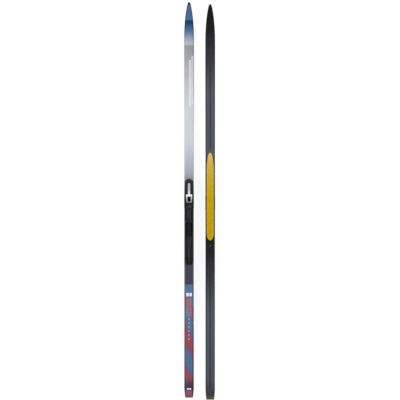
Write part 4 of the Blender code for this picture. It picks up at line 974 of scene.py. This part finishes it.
# The near white around the yoke is a painted highlight.
LEVER_SILVER_AND_HIGHLIGHT = [
    (0, (226, 227, 231)), (34, (236, 237, 242)), (44, (222, 222, 231)), (52, (188, 188, 199)),
    (92, (176, 177, 187)),
]


def jaw_steel(ski):
    """Pressed steel: bright legs, and a bow darkened with painted shade."""
    finish = Finish(f"{ski.side}_jaw_steel", Metallic=1.0)
    across, along, _, spot = finish.on_ski(ski)
    streak = finish.noise(spot, JAW_LINES, 3.0)
    legs = abs(across).ease(*LEG_SIDES).at_least(along.ease(*LEG_REAR))
    steel = finish.blend(JAW_BOW_SHADE, JAW_LEGS, legs)
    finish.feed("Base Color", finish.shade(steel, streak.spread(0.88, 1.12)))
    finish.feed("Roughness", streak.spread(0.3, 0.48))
    finish.bump(streak, 20)
    return finish


def lever_silver(ski):
    """Silver paint: cool on the handle, and near white on the yoke with a painted highlight."""
    finish = Finish(f"{ski.side}_lever_silver", Specular_IOR_Level=0.4)
    _, along, _, spot = finish.on_ski(ski)
    flake = finish.noise(spot, SILVER_FLAKE_SCALE, 3.0)
    finish.feed("Base Color", finish.shade(finish.fade(along, LEVER_SILVER_AND_HIGHLIGHT), flake.spread(0.92, 1.08)))
    finish.feed("Roughness", flake.spread(0.3, 0.45))
    finish.bump(flake, 20)
    return finish


dress_each(jaw_steel, "jaw")
dress_each(lever_silver, "lever")

# %% [markdown]
# ## How a new piece is placed
# New pieces are drawn in millimetres of the ski, then carried to the scene by the ski's axes. Each could do
# this by itself, but one helper does it for all, so the drawing code below is about shape alone.

# %% Helpers for new pieces
SHARP_EDGE = math.radians(40)


def local_box(ski, node):
    """Lowest and highest corner of a node, in millimetres of the ski."""
    first, second = (ski.local(corner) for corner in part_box(ski.node(node)))
    return Vector(map(min, first, second)), Vector(map(max, first, second))


def ring_body(bm, rings):
    """A closed body through rings of points, each ring with the same count."""
    loops = [[bm.verts.new(point) for point in ring] for ring in rings]
    for near, far in zip(loops, loops[1:]):
        for index in range(len(near)):
            after = (index + 1) % len(near)
            bm.faces.new((near[index], near[after], far[after], far[index]))
    bm.faces.new(loops[0])
    bm.faces.new(loops[-1])


def to_mesh(name, bm):
    """Write a drawing to a new mesh and let go of it."""
    mesh = bpy.data.meshes.new(name)
    bm.to_mesh(mesh)
    bm.free()
    return mesh


def add_piece(ski, name, bm, finish, body, replaced=()):
    """Carry a drawing to the scene, give it its finish and let it ride on its body."""
    bmesh.ops.recalc_face_normals(bm, faces=bm.faces)
    for vertex in bm.verts:
        vertex.co = ski.world(*vertex.co)
    mesh = to_mesh(name, bm)
    mesh.shade_smooth()
    mesh.set_sharp_from_angle(angle=SHARP_EDGE)
    mesh.materials.append(finish.material)
    piece = into_scene(f"{ski.side}_{name}", mesh)
    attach(piece, ski.body(body))
    for node in replaced:
        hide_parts(ski.node(node))
    print(piece.name, len(mesh.polygons), "faces")
    return piece


print("edges sharper than", round(math.degrees(SHARP_EDGE)), "degrees stay sharp")

# %% [markdown]
# ## Glue in the end joints
# The tip and tail caps are glued to the ends of the layers, and the glue fills the joint. The solids leave a
# hairline of air there, through which a pale floor shines like a scratch. A line could be painted on, but a
# thin plate is the real thing. Its outline is taken from the cap's inner face, so it always fits.

# %% End seams
SEAM_INSET = 0.15
SEAM_CLEARANCE = 0.02
joint_glue = moulded("joint_glue", paint(16, 16, 20), paint(26, 26, 30), 0.5)


def face_corners(ski, cap, face_y):
    """Middle of a cap's inner face, and its corners in order round it, as (x, z) vectors."""
    outline = set()
    for vertex in frame["nodes"][ski.node(cap)].data.vertices:
        spot = ski.local(vertex.co)
        if abs(spot.y - face_y) < SEAM_CLEARANCE:
            outline.add((round(spot.x, 2), round(spot.z, 2)))
    middle = Vector((0.0, sum(z for _, z in outline) / len(outline)))
    turns = sorted(outline, key=lambda point: math.atan2(point[1] - middle.y, point[0]))
    return middle, [Vector(point) for point in turns]


def glue_plate(ski, cap, face_y, layer_y):
    """A plate between a cap's inner face and the layers, a little smaller than that face."""
    middle, corners = face_corners(ski, cap, face_y)
    inner = [corner + (middle - corner).normalized() * SEAM_INSET for corner in corners]
    inward = math.copysign(SEAM_CLEARANCE, layer_y - face_y)
    plate = bmesh.new()
    ring_body(plate, [[(x, y, z) for x, z in inner] for y in (face_y + inward, layer_y - inward)])
    return plate


for ski in SKIS:
    rear, front = (corner.y for corner in local_box(ski, "top_sheet"))
    tip_face = local_box(ski, "tip_protector")[0].y
    tail_face = local_box(ski, "tail_protector")[1].y
    for end, face, layer in (("tip", tip_face, front), ("tail", tail_face, rear)):
        plate = glue_plate(ski, f"{end}_protector", face, layer)
        add_piece(ski, f"{end}_seam", plate, joint_glue, "ski")

# %% [markdown]
# ## The grip skin
# A strip of short mohair is let into the base under the foot. Its hairs lie back, so the ski slides forward
# and grips when it is kicked. Its yellow is deepest in the middle and paler at the sides and in front. Hairs
# could have a finish of their own, but one for both keeps them from standing out of their cloth.

# %% Pile finish
PILE_FADE = [
    (-190, (206, 176, 30)), (-170, (198, 164, 6)), (20, (200, 168, 8)), (120, (206, 176, 34)),
    (215, (218, 186, 82)), (256, (238, 202, 104)),
]
WORN_YELLOW = paint(204, 182, 92)
WORN_SIDES = (9.5, 17.0)
WORN_SHARE = 0.35
WORN_FRONT = (20, 200)
FRONT_SHARE = 0.5
TUFT_SCALE = (1.4, 0.22, 1.4)


def mohair(ski):
    """Matt yellow pile in tufts that are drawn out along the ski."""
    finish = Finish(f"{ski.side}_mohair", Roughness=0.95, Specular_IOR_Level=0.05)
    across, along, _, spot = finish.on_ski(ski)
    worn = abs(across).ease(*WORN_SIDES) * (WORN_SHARE + along.ease(*WORN_FRONT) * FRONT_SHARE)
    colour = finish.blend(finish.fade(along, PILE_FADE), WORN_YELLOW, worn)
    tuft = finish.noise(spot, TUFT_SCALE, 3.0)
    finish.feed("Base Color", finish.shade(colour, tuft.spread(0.68, 1.22)))
    finish.bump(tuft, 300)
    return finish


print("pile fades over", PILE_FADE[-1][0] - PILE_FADE[0][0], "mm")

# %% [markdown]
# ## The strip of cloth
# The strip swells a little over its seat and is never quite even. A flat sheet would show a hard edge, and a
# cloth simulation has nothing to do here, because the strip is glued down. So its cross-sections are drawn:
# crowned outside, flat behind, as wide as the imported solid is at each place.

# %% Cross-sections of the strip
CROWN = 0.45
CROWN_SUNK = 0.4
UNEVEN = 0.06
STRIP_DEPTH = 1.2
STRIP_STEPS = 130
STRIP_POINTS = 13


def strip_stations(ski):
    """Half-width and outer height of the skin at each station of its solid, from rear to front."""
    stations = {}
    for vertex in frame["nodes"][ski.node("skin_insert")].data.vertices:
        spot = ski.local(vertex.co)
        half, low = stations.get(round(spot.y, 2), (0.0, 1e9))
        stations[round(spot.y, 2)] = (max(half, abs(spot.x)), min(low, spot.z))
    return sorted((y, half, low) for y, (half, low) in stations.items())


def between(stations, y):
    """Half-width and height at any place along the strip."""
    for (y0, half0, low0), (y1, half1, low1) in zip(stations, stations[1:]):
        if y <= y1:
            share = (y - y0) / (y1 - y0)
            return half0 + (half1 - half0) * share, low0 + (low1 - low0) * share
    return stations[-1][1:]


def crowned(low, share):
    """Height of the crowned face; share runs from -1 at one side to 1 at the other."""
    return low - CROWN * (1 - share ** 4) + CROWN * CROWN_SUNK


def skin_rings(stations, draw):
    """Cross-sections of the strip: a crowned outer face, slightly uneven, and a flat back."""
    rear = stations[0][0]
    front = stations[-1][0]
    for step in range(STRIP_STEPS + 1):
        turn = 1 - math.cos(math.pi * step / STRIP_STEPS)
        y = rear + (front - rear) * turn / 2
        half, low = between(stations, y)
        ring = []
        for index in range(STRIP_POINTS):
            share = 2 * index / (STRIP_POINTS - 1) - 1
            ring.append((half * share, y, crowned(low, share) - draw.uniform(-UNEVEN, UNEVEN)))
        yield ring + [(half, y, low + STRIP_DEPTH), (-half, y, low + STRIP_DEPTH)]


print("strip of", STRIP_STEPS + 1, "cross-sections")

# %% [markdown]
# ## The pile
# A hair system would be quick to grow, but it would not survive in other programs. So the pile is several
# thousand short pointed hairs of real shape, all leaning towards the tail. The strip and its pile stay two
# pieces, and the size that the strip was cut to is printed.

# %% Hairs, and both pieces
HAIRS = 5200
HAIR_LENGTHS = (1.6, 2.6)
HAIR_LEAN = 0.4
HAIR_WIDTH = 0.16
HAIR_RISE = 0.32
HAIR_ROOT = 0.1
HAIR_SPREAD = 17.6
SIDE_MARGIN = 0.4
REAR_MARGIN = 1.5
FRONT_MARGIN = 0.5
SEED = 11


def add_hair(bm, root, length, lean):
    """One closed hair: a three-sided spike that leans back."""
    x, y, z = root
    tip = bm.verts.new((x + lean, y - length, z - length * HAIR_RISE))
    corners = [(x - HAIR_WIDTH, y, z + HAIR_ROOT), (x + HAIR_WIDTH, y, z + HAIR_ROOT),
               (x, y + HAIR_WIDTH, z - HAIR_WIDTH)]
    foot = [bm.verts.new(corner) for corner in corners]
    bm.faces.new(foot)
    for index in range(3):
        bm.faces.new((foot[index], foot[(index + 1) % 3], tip))


def grow_pile(stations, draw):
    """Hairs at random places of the strip, none of them over its edge."""
    pile = bmesh.new()
    placed = 0
    while placed < HAIRS:
        y = draw.uniform(stations[0][0] + REAR_MARGIN, stations[-1][0] - FRONT_MARGIN)
        half, low = between(stations, y)
        x = draw.uniform(-HAIR_SPREAD, HAIR_SPREAD)
        if abs(x) > half - SIDE_MARGIN:
            continue
        root = (x, y, crowned(low, x / half))
        add_hair(pile, root, draw.uniform(*HAIR_LENGTHS), draw.uniform(-HAIR_LEAN, HAIR_LEAN))
        placed += 1
    return pile


def grip_skin(ski):
    """The strip and its pile, and the flat size of the strip."""
    draw = random.Random(SEED)
    finish = mohair(ski)
    stations = strip_stations(ski)
    strip = bmesh.new()
    ring_body(strip, list(skin_rings(stations, draw)))
    pile = grow_pile(stations, draw)
    cloth = add_piece(ski, "grip_skin", strip, finish, "ski", ["skin_insert"])
    hairs = add_piece(ski, "grip_pile", pile, finish, "ski")
    size = (2 * max(half for _, half, _ in stations) * MM, (stations[-1][0] - stations[0][0]) * MM)
    area = sum((b[0] - a[0]) * (a[1] + b[1]) for a, b in zip(stations, stations[1:])) * MM * MM
    ski.node("base_sheet")
    print("skin cut", [round(side, 4) for side in size], "area", round(area, 5))


for ski in SKIS:
    grip_skin(ski)

# %% [markdown]
# ## Rubber in the binding
# Three rubber pieces touch the boot: the flexor that the boot bar presses on, the ribbed pad behind the jaw,
# and the grip strips under the heel. Rubber is dull and faintly dusty. A flat black would look like a hole in
# the picture, so noise lays the dust and a fine relief scatters the light.

# %% Rubber finish
DUST_SCALE = 0.5
DUST_EDGE = (0.35, 0.7)
RUBBER_GRAIN = 3.0


def rubber(name, dark, light):
    """Dull rubber with a film of dust."""
    finish = Finish(name, Specular_IOR_Level=0.15)
    spot = finish.in_mm()
    dust = finish.noise(spot, DUST_SCALE, 4.0)
    finish.feed("Base Color", finish.blend(dark, light, dust.ease(*DUST_EDGE)))
    finish.feed("Roughness", dust.spread(0.72, 0.92))
    finish.bump(finish.noise(spot, RUBBER_GRAIN), 50)
    return finish


flexor_rubber = rubber("flexor_rubber", paint(14, 14, 15), paint(24, 24, 26))
pad_rubber = rubber("pad_rubber", paint(58, 58, 62), paint(72, 72, 76))
heel_rubber = rubber("heel_rubber", paint(34, 34, 37), paint(46, 46, 49))
print("three rubbers mixed")

# %% [markdown]
# ## The flexor
# The flexor is a soft block between the boot bar and the toe unit. Four pockets let it give when the heel
# rises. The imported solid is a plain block, so a block with cut and rounded edges takes its place, and tapered
# cores cut the pockets out of it, as the cores of a mould would.

# %% Block and pockets
FLEXOR_CUT = 3.2
FLEXOR_ROUNDING = 0.7
POCKET_RADIUS = 2.9
POCKET_FLOOR = 0.8
POCKET_DEPTH = 6.0
POCKET_SIDES = 18
POCKET_ASIDE = 3.9
POCKET_INSET = 4.4
CORE_ABOVE = 1.0


def rounded_block(low, high, cut, rounding):
    """A block whose upper front and rear edges are cut away, with every edge rounded."""
    side = [(low.y, low.z), (high.y, low.z), (high.y, high.z - cut), (high.y - cut, high.z),
            (low.y + cut, high.z), (low.y, high.z - cut)]
    bm = bmesh.new()
    ring_body(bm, [[(x, y, z) for y, z in side] for x in (low.x, high.x)])
    bmesh.ops.recalc_face_normals(bm, faces=bm.faces)
    bmesh.ops.bevel(bm, geom=list(bm.edges), offset=rounding, segments=3, profile=0.5, affect="EDGES")
    return bm


def pocket_cores(centres, top):
    """Tapered round cores that stand in the pockets and reach a little above the block."""
    turns = [2 * math.pi * step / POCKET_SIDES for step in range(POCKET_SIDES)]
    ends = ((POCKET_RADIUS * POCKET_FLOOR, top - POCKET_DEPTH), (POCKET_RADIUS, top + CORE_ABOVE))
    cores = bmesh.new()
    for x, y in centres:
        rings = []
        for radius, z in ends:
            rings.append([(x + radius * math.cos(a), y + radius * math.sin(a), z) for a in turns])
        ring_body(cores, rings)
    bmesh.ops.recalc_face_normals(cores, faces=cores.faces)
    return cores


def cut_away(bm, cores):
    """What is left of a body once the cores are taken out of it."""
    block = into_scene("block", to_mesh("block", bm))
    core = into_scene("cores", to_mesh("cores", cores))
    cut = block.modifiers.new("pockets", "BOOLEAN")
    cut.object = core
    cut.operation = "DIFFERENCE"
    result = bmesh.new()
    result.from_mesh(block.evaluated_get(bpy.context.evaluated_depsgraph_get()).to_mesh())
    for helper in (block, core):
        bpy.data.objects.remove(helper)
    return result


for ski in SKIS:
    low, high = local_box(ski, "flexor")
    rows = (low.y + POCKET_INSET, high.y - POCKET_INSET)
    centres = [(x, y) for x in (-POCKET_ASIDE, POCKET_ASIDE) for y in rows]
    block = rounded_block(low, high, FLEXOR_CUT, FLEXOR_ROUNDING)
    flexor = cut_away(block, pocket_cores(centres, high.z))
    add_piece(ski, "rubber_flexor", flexor, flexor_rubber, "toe_unit", ["flexor"])

# %% [markdown]
# ## The ribbed toe pad
# Behind the jaw the sole rests on a pad with two round ribs across it. Ribs could be bump in the finish, but
# they show against the light from the side. So their outline is drawn as a wave and swept across, dipping at
# both ends.

# %% Toe pad
TOE_RIBS = 2
RIB_STEPS = 12
RIB_FOOT = 0.5
RIB_EDGE = 0.6
END_DIPS = ((0.0, 0.6), (1.0, 0.12), (2.5, 0.0))


def rib_outline(low, high):
    """Rounded ribs side by side from rear to front, over a flat foot."""
    pitch = (high.y - low.y) / TOE_RIBS
    foot = low.z + RIB_FOOT
    outline = [(high.y, low.z), (low.y, low.z)]
    for step in range(TOE_RIBS * RIB_STEPS + 1):
        share = (1 - math.cos(2 * math.pi * step / RIB_STEPS)) / 2
        outline.append((low.y + pitch * step / RIB_STEPS, foot + (high.z - foot) * share))
    return outline


def ribbed_pad(low, high):
    """Ribs that run across and dip at both ends."""
    near = [(low.x + RIB_EDGE * steps, dip) for steps, dip in END_DIPS]
    far = [(high.x - RIB_EDGE * steps, dip) for steps, dip in reversed(END_DIPS)]
    outline = rib_outline(low, high)
    bm = bmesh.new()
    ring_body(bm, [[(x, y, z - (z - low.z) * dip) for y, z in outline] for x, dip in near + far])
    return bm


for ski in SKIS:
    pad = ribbed_pad(*local_box(ski, "toe_pad"))
    add_piece(ski, "toe_pad_ribs", pad, pad_rubber, "toe_unit", ["toe_pad"])

# %% [markdown]
# ## Grip strips under the heel
# Two low rubber strips run along the heel plate and a bridge joins them in front. Small ribs across them keep
# the heel from sliding. Each rib could be a body of its own, but a strip has one section all along, so a ring
# of points is moved along the ski and its top rises and falls with each rib.

# %% Heel strips
HEEL_STRIP = 4.5
HEEL_BRIDGE = 6.0
HEEL_JOINT = 0.2
HEEL_RIB_PITCH = 3.2
HEEL_RIB_DEPTH = 0.35
HEEL_RIB_STEPS = 4
HEEL_ROUNDING = 0.5
CORNER_STEPS = 4


def strip_section(start, end, low, top):
    """A low strip's section, with its upper corners rounded."""
    turns = [math.pi / 2 * step / CORNER_STEPS for step in range(CORNER_STEPS + 1)]
    arc = [(1 - math.cos(turn), top - HEEL_ROUNDING * (1 - math.sin(turn))) for turn in turns]
    rise = [(start + HEEL_ROUNDING * inset, z) for inset, z in arc]
    fall = [(end - HEEL_ROUNDING * inset, z) for inset, z in reversed(arc)]
    return [(start, low), *rise, *fall, (end, low)]


def grip_strip(bm, sides, ends, low, high):
    """A strip along the ski, with a wave of small ribs on top."""
    rear, front = ends
    steps = round((front - rear) / HEEL_RIB_PITCH) * HEEL_RIB_STEPS
    rings = []
    for step in range(steps + 1):
        y = rear + (front - rear) * step / steps
        top = high - HEEL_RIB_DEPTH * (1 + math.cos(2 * math.pi * step / HEEL_RIB_STEPS)) / 2
        rings.append([(x, y, z) for x, z in strip_section(*sides, low, top)])
    ring_body(bm, rings)


for ski in SKIS:
    low, high = local_box(ski, "heel_pad")
    join = high.y - HEEL_BRIDGE
    pad = bmesh.new()
    for sides in ((low.x, low.x + HEEL_STRIP), (high.x - HEEL_STRIP, high.x)):
        grip_strip(pad, sides, (low.y, join - HEEL_JOINT), low.z, high.z)
    bridge = strip_section(join, high.y, low.z, high.z)
    ring_body(pad, [[(x, y, z) for y, z in bridge] for x in (low.x, high.x)])
    add_piece(ski, "heel_grip", pad, heel_rubber, "heel_unit", ["heel_pad"])
